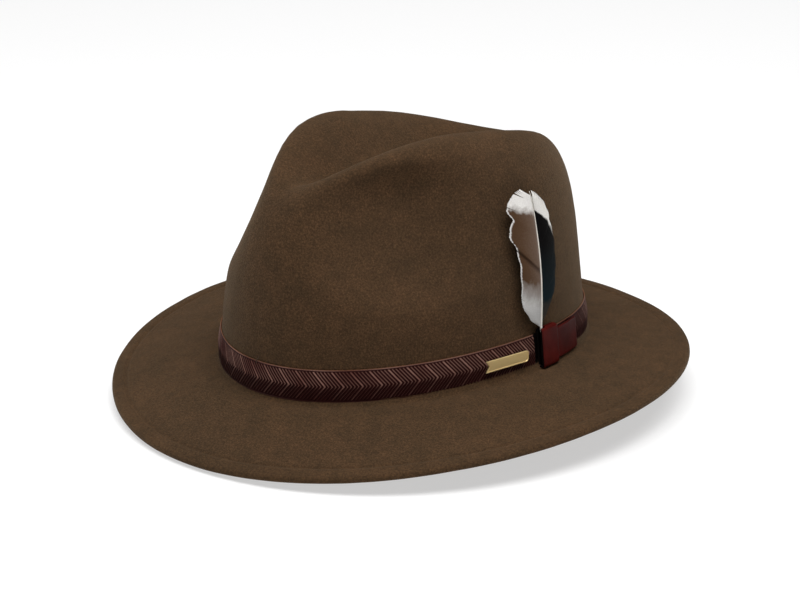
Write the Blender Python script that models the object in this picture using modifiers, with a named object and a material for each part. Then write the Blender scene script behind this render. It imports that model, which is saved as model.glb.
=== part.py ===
"""Fedora hat: a blocked felt hat with a teardrop crown, a leather band, a feather and a lined inside.

Metres, +Z up. The front of the hat is -Y and the wearer's left, with the feather, is +X.
The origin is the centre of the head opening, on the plane of the sweatband's lower edge.
"""

import math

import bmesh
import bpy
import numpy as np
from mathutils import Vector

MM = 0.001
CLEARANCE = 0.3 * MM

# Felt body: an oval wall, a domed top and a brim that share one break line.
HEAD_HALF_LENGTH = 108.9 * MM
HEAD_HALF_WIDTH = 85.8 * MM
BREAK_HEIGHT = 2.4 * MM
BREAK_SADDLE = 2.6 * MM
FELT_THICKNESS = 2.2 * MM

CROWN_HEIGHT = 133.1 * MM
CROWN_FALL_TO_REAR = 0.186
CROWN_ARCH = 0.224
CROWN_LEAN_TO_LEFT = 0.051
CROWN_TWIST = 0.91
FRONT_SQUARENESS = 2.89
REAR_SQUARENESS = 5.94
SIDE_SQUARENESS = 3.93
FRONT_TAPER = 0.043
REAR_TAPER = 0.100
SIDE_TAPER = 0.176

# Centre dent of the crown.
DENT_DEPTH = 37.6 * MM
DENT_FRONT = -77.6 * MM
DENT_REAR = 65.0 * MM
DENT_FRONT_FADE = 32.5 * MM
DENT_REAR_FADE = 37.0 * MM
DENT_HALF_WIDTH = 28.0 * MM
DENT_FRONT_NARROWING = 7.3 * MM
DENT_NARROWS_FROM = -20.0 * MM
DENT_NARROWS_OVER = 60.0 * MM
DENT_ROUNDNESS = 1.65

# Hollow pressed into each side, under the ridge. Angles are degrees from the front.
HOLLOW_DEPTH = 13.8 * MM
HOLLOW_ANGLE = 58.0
HOLLOW_FRONT_REACH = 44.0
HOLLOW_REAR_REACH = 73.0
HOLLOW_REAR_FADE = 48.0
HOLLOW_HEIGHT = 96.6 * MM
HOLLOW_DROP = 46.6 * MM
HOLLOW_RISE = 27.0 * MM
HOLLOW_SOFTNESS = 0.25
PRESS_DEPTH = 8.0 * MM
PRESS_ANGLE = 58.0
PRESS_REACH = 45.0
PRESS_HEIGHT = 92.0 * MM
PRESS_RISE = 27.0 * MM
PRESS_DROP = 43.0 * MM
PRESS_SOFTNESS = 0.06
PRESS_REAR_FADE = (58.0, 30.0)
RIDGE_INNER_REACH = 0.36
RIDGE_BREADTH = 0.32

# Brim edge: an oval whose height dips in front.
BRIM_HALF_LENGTH = 159.7 * MM
BRIM_HALF_WIDTH = 150.7 * MM
BRIM_SHIFT = -2.9 * MM
BRIM_EDGE_HEIGHT = -6.8 * MM
BRIM_FRONT_DIP = 8.3 * MM
BRIM_END_DIP = 4.9 * MM
BRIM_CURVE = 1.3
WELT_WIDTH = 9.0 * MM
WELT_THICKNESS = 4.0 * MM

# Leather band, its keeper and its tail. Angles run from the front towards the wearer's left.
STRAP_HEIGHT = 17.2 * MM
STRAP_LIFT = 1.8 * MM
STRAP_THICKNESS = 1.5 * MM
STRAP_FRONT_END = 95.2
STRAP_REAR_END = 105.0
KEEPER_FRONT = 96.8
KEEPER_REAR = 104.2
KEEPER_LIFT = 0.5 * MM
KEEPER_HEIGHT = 21.2 * MM
KEEPER_WALL = 1.0 * MM
KEEPER_OUT = 4.6 * MM
KEEPER_NOTCH = 3.4 * MM
KEEPER_CORNER = 1.4 * MM
TAIL_FRONT = 100.0
TAIL_REAR = 117.0
TAIL_OUT = 3.2 * MM
TAIL_THICKNESS = 1.1 * MM
TAIL_HEIGHT = 16.4 * MM

# Thread loops that hold the band to the felt.
TACKS = (("front", 2.0), ("right", 262.0), ("rear", 178.0))

# Brass plate on the band.
BADGE_ANGLE = 83.8
BADGE_LENGTH = 29.0 * MM
BADGE_HEIGHT = 6.2 * MM
BADGE_THICKNESS = 0.9 * MM
BADGE_NOTCH = 2.0 * MM
BADGE_CORNER = 1.4 * MM
BADGE_OUT = 2.3 * MM
BADGE_LIFT = 10.3 * MM
PRONG_RADIUS = 0.6 * MM
PRONG_HOLE_RADIUS = 1.0 * MM
PRONG_HOLE_DEPTH = 10.0 * MM
PRONG_SPACING = 17.0 * MM

# Feather: quill and two vanes. Each row is angle, height, distance from the felt.
QUILL_PATH = ((97.9, 7.0, 2.4), (97.9, 16.0, 2.4), (97.9, 27.0, 2.5), (98.1, 40.0, 3.8), (98.2, 52.0, 4.8),
              (98.6, 65.0, 5.2), (99.0, 79.0, 5.4), (99.3, 88.0, 5.6), (99.5, 95.0, 5.8))
QUILL_BASE_RADIUS = 0.95 * MM
QUILL_TIP_RADIUS = 0.35 * MM
VANE_THICKNESS = 0.5 * MM
VANE_GAP = 0.35 * MM
LEFT_VANE = ((29.0, 95.9, 3.0), (33.0, 92.9, 4.2), (40.5, 90.0, 5.2), (49.0, 89.2, 5.8), (57.0, 89.7, 6.0),
             (70.0, 90.6, 6.2), (78.0, 90.6, 6.4), (87.0, 91.9, 6.6), (94.0, 93.4, 6.8), (99.0, 95.6, 7.0))
RIGHT_VANE = ((33.5, 99.6, 3.4), (38.5, 102.2, 4.2), (44.0, 104.2, 4.6), (55.5, 105.4, 5.0), (66.5, 105.9, 5.2),
              (77.0, 105.4, 5.6), (86.0, 104.8, 5.8), (91.5, 103.9, 6.0), (96.0, 101.9, 6.2))

# Inside: sweatband, its reed and tape, and the lining. Distances run inwards from the felt's outer face.
SWEATBAND_IN = 4.6 * MM
SWEATBAND_THICKNESS = 1.0 * MM
SWEATBAND_BOTTOM = 1.1 * MM
SWEATBAND_TOP = 40.0 * MM
SWEATBAND_SPLIT = 1.0
TAPE_OUTER_IN = 2.5 * MM
TAPE_INNER_IN = 5.6 * MM
TAPE_THICKNESS = 0.8 * MM
REED_IN = 3.2 * MM
REED_HEIGHT = 1.9 * MM
REED_RADIUS = 0.65 * MM
STITCH_RADIUS = 0.25 * MM
SWEATBAND_STITCH_HEIGHT = 4.5 * MM
LINING_IN = 3.2 * MM
LINING_THICKNESS = 0.4 * MM
LINING_BOTTOM = 22.0 * MM
LINING_BEND = 40.5 * MM
LINING_SEAM = 0.597
LINING_SEAM_GAP = 0.01
PIPING_RADIUS = 0.8 * MM
PIPING_IN = 5.4 * MM
BACK_TAB_WIDTH = 12.0 * MM
BACK_TAB_BOTTOM = 6.0 * MM
BACK_TAB_TOP = 37.0 * MM
TRIM_THICKNESS = 0.5 * MM
BOW_WIDTH = 26.0 * MM
BOW_HEIGHT = 9.0 * MM
BOW_THICKNESS = 1.4 * MM
BOW_WAIST = 3.2 * MM
BOW_STANDOFF = 0.9 * MM
BOW_CENTRE_HEIGHT = 14.0 * MM
LABEL_ANGLE = 150.0
LABEL_WIDTH = 24.0 * MM
LABEL_BOTTOM = 16.0 * MM
LABEL_TOP = 29.0 * MM

AROUND = 80
PATCH_COLUMNS = 5
THREAD_BEVEL = 1
QUILL_BEVEL = 2
PRONG_SIDES = 12
QUARTER_TURN = math.pi / 2

FELT_BROWN = (0.070, 0.040, 0.023)
OXBLOOD = (0.060, 0.014, 0.016)
RED_BROWN = (0.090, 0.016, 0.012)
BRASS = (0.72, 0.53, 0.24)
TAN_LEATHER = (0.24, 0.12, 0.055)
SATIN = (0.075, 0.045, 0.028)
RIBBON = (0.045, 0.026, 0.016)
THREAD = (0.060, 0.035, 0.022)
QUILL = (0.80, 0.74, 0.62)
VANE_GREY_BROWN = (0.30, 0.20, 0.14)
VANE_DARK = (0.02, 0.035, 0.035)
REED_PLASTIC = (0.62, 0.60, 0.55)
LABEL_CLOTH = (0.70, 0.66, 0.56)


def clear_scene():
    for obj in list(bpy.data.objects):
        bpy.data.objects.remove(obj, do_unlink=True)


def new_collection(name):
    collection = bpy.data.collections.new(name)
    bpy.context.scene.collection.children.link(collection)
    return collection


def new_material(name, color, roughness, metallic=0.0):
    material = bpy.data.materials.new(name)
    material.use_nodes = True
    shader = material.node_tree.nodes["Principled BSDF"]
    shader.inputs["Base Color"].default_value = (*color, 1.0)
    shader.inputs["Roughness"].default_value = roughness
    shader.inputs["Metallic"].default_value = metallic
    return material


# ---------------------------------------------------------------- the felt's shape


def ease(x):
    """Smooth step from 0 to 1."""
    x = np.clip(x, 0.0, 1.0)
    return x * x * (3.0 - 2.0 * x)


def break_height(angle):
    return BREAK_HEIGHT - BREAK_SADDLE * np.cos(2.0 * angle)


def dent_depth(x, y):
    along = ease((y - DENT_FRONT + DENT_FRONT_FADE) / (2.0 * DENT_FRONT_FADE))
    along = along * ease((DENT_REAR + DENT_REAR_FADE - y) / (2.0 * DENT_REAR_FADE))
    width = DENT_HALF_WIDTH - DENT_FRONT_NARROWING * ease((DENT_NARROWS_FROM - y) / DENT_NARROWS_OVER)
    return DENT_DEPTH * along * np.exp(-(np.abs(x / width) ** DENT_ROUNDNESS))


def hollow_depth(angle, z, reach):
    """How far a side is pressed in: most just under the ridge, and less and less down to a soft lower edge.

    The wearer's left side has one more press of a hand, in front, with a firmer edge.
    """
    around = np.degrees(np.arccos(np.cos(angle))) - HOLLOW_ANGLE
    along = around / np.where(around > 0.0, HOLLOW_REAR_REACH, HOLLOW_FRONT_REACH)
    up = z - HOLLOW_HEIGHT
    up = up / np.where(up < 0.0, HOLLOW_DROP, HOLLOW_RISE)
    inside = 1.0 - along * along - up * up
    scoop = (inside + np.sqrt(inside * inside + HOLLOW_SOFTNESS**2)) / 2.0
    outside = ease((reach - RIDGE_INNER_REACH) / RIDGE_BREADTH)
    hollow = HOLLOW_DEPTH * scoop * (1.0 - ease(around / HOLLOW_REAR_FADE)) * outside

    turned = np.degrees(np.arctan2(np.sin(angle), np.cos(angle)))
    aside = (turned - PRESS_ANGLE) / PRESS_REACH
    up = z - PRESS_HEIGHT
    up = up / np.where(up < 0.0, PRESS_DROP, PRESS_RISE)
    inside = 1.0 - aside * aside - up * up
    press = PRESS_DEPTH * (inside + np.sqrt(inside * inside + PRESS_SOFTNESS**2)) / 2.0
    fade_start, fade_breadth = PRESS_REAR_FADE
    return hollow + press * (1.0 - ease((turned - fade_start) / fade_breadth)) * outside


def crown_point(angle, t):
    """Point on the felt's outer face: t is 0 at the break line and 1 at the middle of the top."""
    angle, t = np.broadcast_arrays(np.asarray(angle, float), np.asarray(t, float))
    side, back = np.sin(angle), -np.cos(angle)
    front_share, rear_share = ease(-back), ease(back)
    side_share = 1.0 - front_share - rear_share
    squareness = (
        FRONT_SQUARENESS * front_share + REAR_SQUARENESS * rear_share + SIDE_SQUARENESS * side_share
    )
    reach = np.maximum(np.cos(t * QUARTER_TURN), 0.0) ** (2.0 / squareness)
    rise = np.maximum(np.sin(t * QUARTER_TURN), 0.0) ** (2.0 / squareness)
    taper = FRONT_TAPER * front_share + REAR_TAPER * rear_share
    x = HEAD_HALF_WIDTH * (1.0 - SIDE_TAPER * rise) * side * reach
    y = HEAD_HALF_LENGTH * (1.0 - taper * rise) * back * reach
    top = CROWN_HEIGHT - CROWN_FALL_TO_REAR * y - CROWN_ARCH * y * y
    top = top + CROWN_LEAN_TO_LEFT * x + CROWN_TWIST * x * y
    base = break_height(angle)
    z = base + (top - base) * rise - dent_depth(x, y) * ease((rise - 0.45) / 0.5)
    inwards = np.stack([side / HEAD_HALF_WIDTH, back / HEAD_HALF_LENGTH])
    inwards = -inwards / np.linalg.norm(inwards, axis=0) * hollow_depth(angle, z, reach)
    return np.stack([x + inwards[0], y + inwards[1], z], -1)


def brim_point(angle, u):
    """Point on the brim's upper face: u is 0 at the break line and 1 at the edge."""
    side, back = np.sin(angle), -np.cos(angle)
    x = side * (HEAD_HALF_WIDTH + (BRIM_HALF_WIDTH - HEAD_HALF_WIDTH) * u)
    y = back * (HEAD_HALF_LENGTH + (BRIM_HALF_LENGTH - HEAD_HALF_LENGTH) * u) + BRIM_SHIFT * u
    edge = BRIM_EDGE_HEIGHT + BRIM_FRONT_DIP * back - BRIM_END_DIP * np.cos(2.0 * angle)
    base = break_height(angle)
    return np.stack([x, y, base + (edge - base) * u**BRIM_CURVE], -1)


def t_at_height(angle, z):
    """The t at which the wall reaches height z, by halving the wall's own range of t."""
    angle, z = np.broadcast_arrays(np.asarray(angle, float), np.asarray(z, float))
    low, high = np.zeros_like(z), np.full_like(z, 0.75)
    for _ in range(36):
        middle = (low + high) / 2.0
        below = crown_point(angle, middle)[..., 2] < z
        low, high = np.where(below, middle, low), np.where(below, high, middle)
    return (low + high) / 2.0


def wall_point(angle, z, out):
    """Point beside the wall at height z, a distance out from the felt's outer face, level with z."""
    angle, z, out = np.broadcast_arrays(*(np.asarray(v, float) for v in (angle, z, out)))
    t = t_at_height(angle, z)
    step = 1e-3
    here = crown_point(angle, t)
    along = crown_point(angle + step, t) - crown_point(angle - step, t)
    normal = np.stack([along[..., 1], -along[..., 0]], -1)
    normal = normal / np.linalg.norm(normal, axis=-1, keepdims=True)
    flat = here[..., :2] + normal * out[..., None]
    return np.concatenate([flat, z[..., None]], -1)


def crown_offset(angle, t, inwards):
    """Point a distance inwards from the crown's outer face, square to the face."""
    angle, t = np.broadcast_arrays(np.asarray(angle, float), np.asarray(t, float))
    step = 2e-3
    held = np.clip(t, step, 1.0 - 2.0 * step)
    along = crown_point(angle + step, held) - crown_point(angle - step, held)
    upward = crown_point(angle, held + step) - crown_point(angle, held - step)
    normal = np.cross(along, upward)
    normal = normal / np.linalg.norm(normal, axis=-1, keepdims=True)
    return crown_point(angle, t) - normal * inwards


def crown_rows():
    """Values of t evenly spread up the wall, then evenly spread in over the top."""
    power = SIDE_SQUARENESS / 2.0
    wall = np.arcsin(np.linspace(0.0, 0.88, 12) ** power) / QUARTER_TURN
    top = np.arccos(np.linspace(0.74, 0.05, 12) ** power) / QUARTER_TURN
    return np.concatenate([wall, top])


# ---------------------------------------------------------------- building helpers


def link(obj, collection, material):
    collection.objects.link(obj)
    obj.data.materials.append(material)
    return obj


def grid_object(name, points, collection, material, closed=False, apex=None):
    """A sheet through an array of points: rows run round or along, and columns run up or across."""
    mesh = bmesh.new()
    verts = [[mesh.verts.new(p) for p in row] for row in points]
    count = len(verts)
    for i in range(count if closed else count - 1):
        here, there = verts[i], verts[(i + 1) % count]
        for j in range(len(here) - 1):
            mesh.faces.new((here[j], there[j], there[j + 1], here[j + 1]))
    if apex is not None:
        top = mesh.verts.new(apex)
        for i in range(count):
            mesh.faces.new((verts[i][-1], verts[(i + 1) % count][-1], top))
    data = bpy.data.meshes.new(name)
    mesh.to_mesh(data)
    mesh.free()
    return link(bpy.data.objects.new(name, data), collection, material)


def thicken(obj, thickness, inwards=True):
    solid = obj.modifiers.new("thickness", "SOLIDIFY")
    solid.thickness = thickness
    solid.offset = -1.0 if inwards else 1.0
    return solid


def tube(name, points, radius, collection, material, closed=False, radii=None, bevel=THREAD_BEVEL):
    """A round solid along points, as a poly curve with a bevel."""
    curve = bpy.data.curves.new(name, "CURVE")
    curve.dimensions = "3D"
    curve.bevel_depth = radius
    curve.bevel_resolution = bevel
    curve.use_fill_caps = not closed
    spline = curve.splines.new("POLY")
    spline.points.add(len(points) - 1)
    for i, (target, place) in enumerate(zip(spline.points, points)):
        target.co = (*place, 1.0)
        target.radius = 1.0 if radii is None else radii[i]
    spline.use_cyclic_u = closed
    return link(bpy.data.objects.new(name, curve), collection, material)


def cut(obj, cutter, cutters):
    for other in list(cutter.users_collection):
        other.objects.unlink(cutter)
    cutters.objects.link(cutter)
    cutter.hide_render = True
    cutter.display_type = "WIRE"
    boolean = obj.modifiers.new("cut " + cutter.name, "BOOLEAN")
    boolean.operation = "DIFFERENCE"
    boolean.object = cutter


def turn(count):
    return np.linspace(0.0, 2.0 * math.pi, count, endpoint=False)


def local_frame(angle_degrees, z, out):
    """Place on the wall with its outward and along directions, level."""
    angle = math.radians(angle_degrees)
    place = Vector(wall_point(angle, z, out))
    ahead = Vector(wall_point(angle + 0.01, z, out)) - Vector(wall_point(angle - 0.01, z, out))
    ahead.normalize()
    return place, ahead, ahead.cross(Vector((0.0, 0.0, 1.0)))


# ---------------------------------------------------------------- the pieces


def make_felt(parts):
    """Crown and brim, one blocked piece of felt, thicker where its edge is folded under and stitched."""
    material = new_material("felt_brown", FELT_BROWN, 0.95)
    angles = turn(AROUND)
    welt_start = 1.0 - WELT_WIDTH / (BRIM_HALF_WIDTH - HEAD_HALF_WIDTH)
    brim_rows = [1.0, (1.0 + welt_start) / 2.0, welt_start, welt_start - 0.02, 0.6, 0.36, 0.16]
    rows = crown_rows()
    brim = np.stack([brim_point(angles, u) for u in brim_rows], 1)
    crown = np.stack([crown_point(angles, t) for t in rows], 1)
    points = np.concatenate([brim, crown], 1)
    obj = grid_object("felt_body", points, parts, material, closed=True, apex=crown_point(0.0, 1.0))
    per_row = points.shape[1]
    group = obj.vertex_groups.new(name="welt")
    welt_rows = 3
    for i in range(AROUND):
        group.add([i * per_row + j for j in range(welt_rows)], 1.0, "REPLACE")
    solid = thicken(obj, WELT_THICKNESS)
    solid.vertex_group = "welt"
    solid.thickness_vertex_group = FELT_THICKNESS / WELT_THICKNESS
    return obj


def make_welt_thread(parts):
    """The running stitch that closes the folded edge, under the brim."""
    inset = 1.0 - (WELT_WIDTH - 2.0 * MM) / (BRIM_HALF_WIDTH - HEAD_HALF_WIDTH)
    points = brim_point(turn(AROUND), inset)
    points[:, 2] -= WELT_THICKNESS + CLEARANCE + 2.0 * STITCH_RADIUS
    thread = new_material("thread_brown", THREAD, 0.8)
    tube("welt_thread", points, STITCH_RADIUS, parts, thread, closed=True)
    return thread


def strap_sheet(first, last, steps, lift, height, out):
    angles = np.radians(np.linspace(first, last, steps))
    heights = np.linspace(0.0, height, 3)
    columns = [wall_point(angles, break_height(angles) + lift + h, out) for h in heights]
    return np.stack(columns, 1)


def make_strap(parts, cutters):
    """The embossed leather band, open behind the keeper, with two holes for the badge's prongs."""
    leather = new_material("leather_oxblood", OXBLOOD, 0.45)
    out = CLEARANCE + STRAP_THICKNESS
    sheet = strap_sheet(STRAP_REAR_END, STRAP_FRONT_END + 360.0, AROUND, STRAP_LIFT, STRAP_HEIGHT, out)
    strap = grid_object("hatband_strap", sheet, parts, leather)
    thicken(strap, STRAP_THICKNESS)
    for index, offset in enumerate(prong_offsets()):
        bpy.ops.mesh.primitive_cylinder_add(
            vertices=PRONG_SIDES, radius=PRONG_HOLE_RADIUS, depth=PRONG_HOLE_DEPTH
        )
        hole = bpy.context.object
        hole.name = f"prong_hole_{index}"
        place_on_badge(hole, offset)
        cut(strap, hole, cutters)


def make_tail(parts):
    """The plain tail of the band, which lies over the strap's rear end and goes through the keeper."""
    leather = new_material("leather_plain", RED_BROWN, 0.5)
    lift = STRAP_LIFT + (STRAP_HEIGHT - TAIL_HEIGHT) / 2.0
    sheet = strap_sheet(TAIL_FRONT, TAIL_REAR, 9, lift, TAIL_HEIGHT, TAIL_OUT)
    thicken(grid_object("hatband_tail", sheet, parts, leather), TAIL_THICKNESS)
    return leather


def make_keeper(parts, cutters, leather):
    """A closed leather loop; its top is notched in front, where the quill goes in."""
    corner = KEEPER_CORNER
    low, high, near, far = 0.0, KEEPER_HEIGHT, CLEARANCE, KEEPER_OUT
    outline = (
        (near, low), (far - corner, low), (far, low + corner), (far, high - corner),
        (far - corner, high), (near, high), (near, high - corner), (near, low + corner),
    )
    angles = np.radians(np.linspace(KEEPER_FRONT, KEEPER_REAR, 5))
    base = break_height(angles) + KEEPER_LIFT
    rings = np.stack([wall_point(angles, base + h, out) for out, h in outline], 0)
    keeper = grid_object("hatband_keeper", rings, parts, leather, closed=True)
    thicken(keeper, KEEPER_WALL, inwards=keeper_faces_out(keeper))
    bpy.ops.mesh.primitive_cube_add(size=1.0)
    notch = bpy.context.object
    notch.name = "quill_notch"
    top = float(base[0]) + KEEPER_HEIGHT
    place, ahead, outward = local_frame(KEEPER_FRONT, top, 0.0)
    middle = (KEEPER_OUT + CLEARANCE) / 2.0
    notch.location = place + outward * middle
    notch.rotation_euler = (0.0, 0.0, math.atan2(ahead.y, ahead.x))
    depth = KEEPER_OUT - CLEARANCE - 2.0 * KEEPER_WALL
    notch.scale = (2.0 * KEEPER_NOTCH, depth, 6.0 * KEEPER_WALL)
    cut(keeper, notch, cutters)


def keeper_faces_out(keeper):
    """Whether the loop's faces point away from its own middle."""
    middle = sum((v.co for v in keeper.data.vertices), Vector()) / len(keeper.data.vertices)
    face = keeper.data.polygons[0]
    return face.normal.dot(face.center - middle) > 0.0


def prong_offsets():
    return (-PRONG_SPACING / 2.0, PRONG_SPACING / 2.0)


def badge_frame():
    height = float(break_height(math.radians(BADGE_ANGLE))) + BADGE_LIFT
    return local_frame(BADGE_ANGLE, height, BADGE_OUT)


def place_on_badge(obj, offset):
    """Stands a cylinder square to the badge, offset along it."""
    place, ahead, outward = badge_frame()
    obj.location = place + ahead * offset
    obj.rotation_euler = outward.to_track_quat("Z", "Y").to_euler()


def make_badge(parts, cutters):
    """A flat brass plate, notched in front and rounded behind, with two prongs through the strap."""
    brass = new_material("brass", BRASS, 0.3, 1.0)
    place, ahead, outward = badge_frame()
    half, side = BADGE_LENGTH / 2.0, BADGE_HEIGHT / 2.0
    outline = [(half, BADGE_CORNER - side), (half, side - BADGE_CORNER), (half - BADGE_CORNER, side)]
    outline += [(-half, side), (-half + BADGE_NOTCH, 0.0), (-half, -side), (half - BADGE_CORNER, -side)]
    up = Vector((0.0, 0.0, 1.0))
    mesh = bmesh.new()
    back = [mesh.verts.new(place + ahead * a + up * b) for a, b in outline]
    back_face = mesh.faces.new(back)
    made = bmesh.ops.extrude_face_region(mesh, geom=[back_face], use_keep_orig=True)
    moved = [v for v in made["geom"] if isinstance(v, bmesh.types.BMVert)]
    bmesh.ops.translate(mesh, verts=moved, vec=outward * BADGE_THICKNESS)
    bmesh.ops.recalc_face_normals(mesh, faces=mesh.faces)
    data = bpy.data.meshes.new("badge_plate")
    mesh.to_mesh(data)
    mesh.free()
    badge = link(bpy.data.objects.new("badge_plate", data), parts, brass)
    reach = BADGE_OUT - CLEARANCE
    for index, offset in enumerate(prong_offsets()):
        bpy.ops.mesh.primitive_cylinder_add(vertices=PRONG_SIDES, radius=PRONG_RADIUS, depth=reach)
        prong = bpy.context.object
        prong.name = f"badge_prong_{index}"
        place_on_badge(prong, offset)
        prong.location -= outward * (reach / 2.0 - BADGE_THICKNESS / 2.0)
        for other in list(prong.users_collection):
            other.objects.unlink(prong)
        cutters.objects.link(prong)
        prong.hide_render = True
        prong.display_type = "WIRE"
        union = badge.modifiers.new(prong.name, "BOOLEAN")
        union.operation = "UNION"
        union.object = prong


def make_tacks(parts, thread):
    """Small thread loops over the band's upper edge that hold it to the felt."""
    radius = STITCH_RADIUS
    edge_out = CLEARANCE + STRAP_THICKNESS
    path = (
        (radius + 0.15 * MM, 1.6),
        (0.9 * MM, 0.75),
        (edge_out + 0.35 * MM, 0.3),
        (edge_out + 0.6 * MM, -1.4),
    )
    for name, degrees in TACKS:
        angle = math.radians(degrees)
        top = float(break_height(angle)) + STRAP_LIFT + STRAP_HEIGHT + radius + CLEARANCE
        points = [wall_point(angle, top + rise * MM, out) for out, rise in path]
        tube(f"band_tack_{name}", points, radius, parts, thread)


def quill_points(path):
    return [wall_point(math.radians(degrees), z * MM, out * MM) for degrees, z, out in path]


def quill_at(z):
    """Angle and distance of the quill at height z, in the units of QUILL_PATH."""
    heights = [row[1] for row in QUILL_PATH]
    angle = np.interp(z, heights, [row[0] for row in QUILL_PATH])
    out = np.interp(z, heights, [row[2] for row in QUILL_PATH])
    return angle, out


def make_vane(name, rows, direction, parts, material):
    """One side of the feather, from just beside the quill to its outer edge."""
    sheet = []
    for z, degrees, out in rows:
        root_angle, root_out = quill_at(min(z, QUILL_PATH[-1][1]))
        root = wall_point(math.radians(root_angle), z * MM, root_out * MM)
        edge = wall_point(math.radians(degrees), z * MM, out * MM)
        span = edge - root
        inner = root + span / np.linalg.norm(span) * (QUILL_BASE_RADIUS + VANE_GAP)
        sheet.append([inner + (edge - inner) * share for share in (0.0, 0.5, 1.0)])
    vane = grid_object(name, np.array(sheet), parts, material)
    thicken(vane, VANE_THICKNESS, inwards=direction > 0)
    return vane


def make_feather(parts):
    count = len(QUILL_PATH)
    tip = QUILL_TIP_RADIUS / QUILL_BASE_RADIUS
    radii = [1.0 + (tip - 1.0) * i / (count - 1) for i in range(count)]
    quill = new_material("feather_quill", QUILL, 0.5)
    tube("feather_quill", quill_points(QUILL_PATH), QUILL_BASE_RADIUS, parts, quill, radii=radii,
         bevel=QUILL_BEVEL)
    grey = new_material("feather_grey_brown", VANE_GREY_BROWN, 0.7)
    dark = new_material("feather_dark_teal", VANE_DARK, 0.4)
    make_vane("feather_front_vane", LEFT_VANE, 1, parts, grey)
    make_vane("feather_rear_vane", RIGHT_VANE, -1, parts, dark)


def ring_at(z, inwards, count=AROUND):
    return wall_point(turn(count), z, -inwards)


def make_sweatband(parts, thread):
    """Leather sweatband with its reed, tape and stitching, open at the rear."""
    leather = new_material("leather_tan", TAN_LEATHER, 0.55)
    angles = np.radians(np.linspace(180.0 + SWEATBAND_SPLIT, 540.0 - SWEATBAND_SPLIT, AROUND))
    heights = np.linspace(SWEATBAND_BOTTOM, SWEATBAND_TOP, 5)
    sheet = np.stack([wall_point(angles, z, -SWEATBAND_IN) for z in heights], 1)
    thicken(grid_object("sweatband", sheet, parts, leather), SWEATBAND_THICKNESS)

    reed = new_material("reed_plastic", REED_PLASTIC, 0.5)
    tube("sweatband_reed", ring_at(REED_HEIGHT, REED_IN), REED_RADIUS, parts, reed, closed=True)

    ribbon = new_material("ribbon_brown", RIBBON, 0.75)
    tape = np.stack([ring_at(0.0, inwards) for inwards in (TAPE_INNER_IN, TAPE_OUTER_IN)], 1)
    thicken(grid_object("reed_tape", tape, parts, ribbon, closed=True), TAPE_THICKNESS)

    inwards = SWEATBAND_IN + SWEATBAND_THICKNESS + CLEARANCE + STITCH_RADIUS
    line = ring_at(SWEATBAND_STITCH_HEIGHT, inwards)
    tube("sweatband_stitching", line, STITCH_RADIUS, parts, thread, closed=True)
    return ribbon


def patch(name, degrees, width, low, high, inwards, thickness, parts, material):
    """A small flat piece that follows the sweatband's inner face."""
    half = width / 2.0 / HEAD_HALF_WIDTH
    angles = math.radians(degrees) + np.linspace(-half, half, PATCH_COLUMNS)
    heights = np.linspace(low, high, 3)
    sheet = np.stack([wall_point(angles, z, -inwards) for z in heights], 1)
    thicken(grid_object(name, sheet, parts, material), thickness)


def make_sweatband_trim(parts, ribbon):
    """The tab over the rear joint, the little bow on it, and a blank size label."""
    face = SWEATBAND_IN + SWEATBAND_THICKNESS + CLEARANCE
    patch("sweatband_back_tab", 180.0, BACK_TAB_WIDTH, BACK_TAB_BOTTOM, BACK_TAB_TOP, face,
          TRIM_THICKNESS, parts, ribbon)
    label = new_material("label_cloth", LABEL_CLOTH, 0.85)
    patch("size_label", LABEL_ANGLE, LABEL_WIDTH, LABEL_BOTTOM, LABEL_TOP, face, TRIM_THICKNESS, parts, label)

    half, side, waist = BOW_WIDTH / 2.0, BOW_HEIGHT / 2.0, BOW_WAIST / 2.0
    right = [(0.0, -waist), (half * 0.6, -side), (half, -side * 0.8), (half, side * 0.8), (half * 0.6, side)]
    left = [(-a, -b) for a, b in right]
    curve = bpy.data.curves.new("sweatband_bow", "CURVE")
    curve.dimensions = "2D"
    curve.fill_mode = "BOTH"
    curve.extrude = BOW_THICKNESS / 2.0
    spline = curve.splines.new("POLY")
    spline.points.add(len(right + left) - 1)
    for target, (a, b) in zip(spline.points, right + left):
        target.co = (a, b, 0.0, 1.0)
    spline.use_cyclic_u = True
    bow = link(bpy.data.objects.new("sweatband_bow", curve), parts, ribbon)
    inwards = face + TRIM_THICKNESS + CLEARANCE + BOW_THICKNESS / 2.0 + BOW_STANDOFF
    bow.location = wall_point(math.pi, BOW_CENTRE_HEIGHT, -inwards)
    bow.rotation_euler = (math.pi / 2.0, 0.0, 0.0)


def make_lining(parts):
    """Satin lining: a side wall, a tip that follows the crown, and the piping between them."""
    satin = new_material("satin_brown", SATIN, 0.35)
    angles = turn(AROUND)
    rows = crown_rows()
    wall_top, tip_start = LINING_SEAM - LINING_SEAM_GAP, LINING_SEAM + LINING_SEAM_GAP
    start = t_at_height(angles, LINING_BOTTOM)
    shared = rows[(rows > 2.0 * start.max()) & (rows < wall_top - LINING_SEAM_GAP)]
    columns = [start, t_at_height(angles, LINING_BEND), *shared, wall_top]
    wall = np.stack([crown_offset(angles, t, LINING_IN) for t in columns], 1)
    thicken(grid_object("lining_wall", wall, parts, satin, closed=True), LINING_THICKNESS)

    columns = [tip_start, *rows[rows > tip_start + LINING_SEAM_GAP]]
    tip = np.stack([crown_offset(angles, t, LINING_IN) for t in columns], 1)
    centre = crown_point(0.0, 1.0) - np.array([0.0, 0.0, LINING_IN])
    thicken(grid_object("lining_tip", tip, parts, satin, closed=True, apex=centre), LINING_THICKNESS)

    seam = crown_offset(angles, LINING_SEAM, PIPING_IN)
    tube("lining_piping", seam, PIPING_RADIUS, parts, satin, closed=True)


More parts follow.
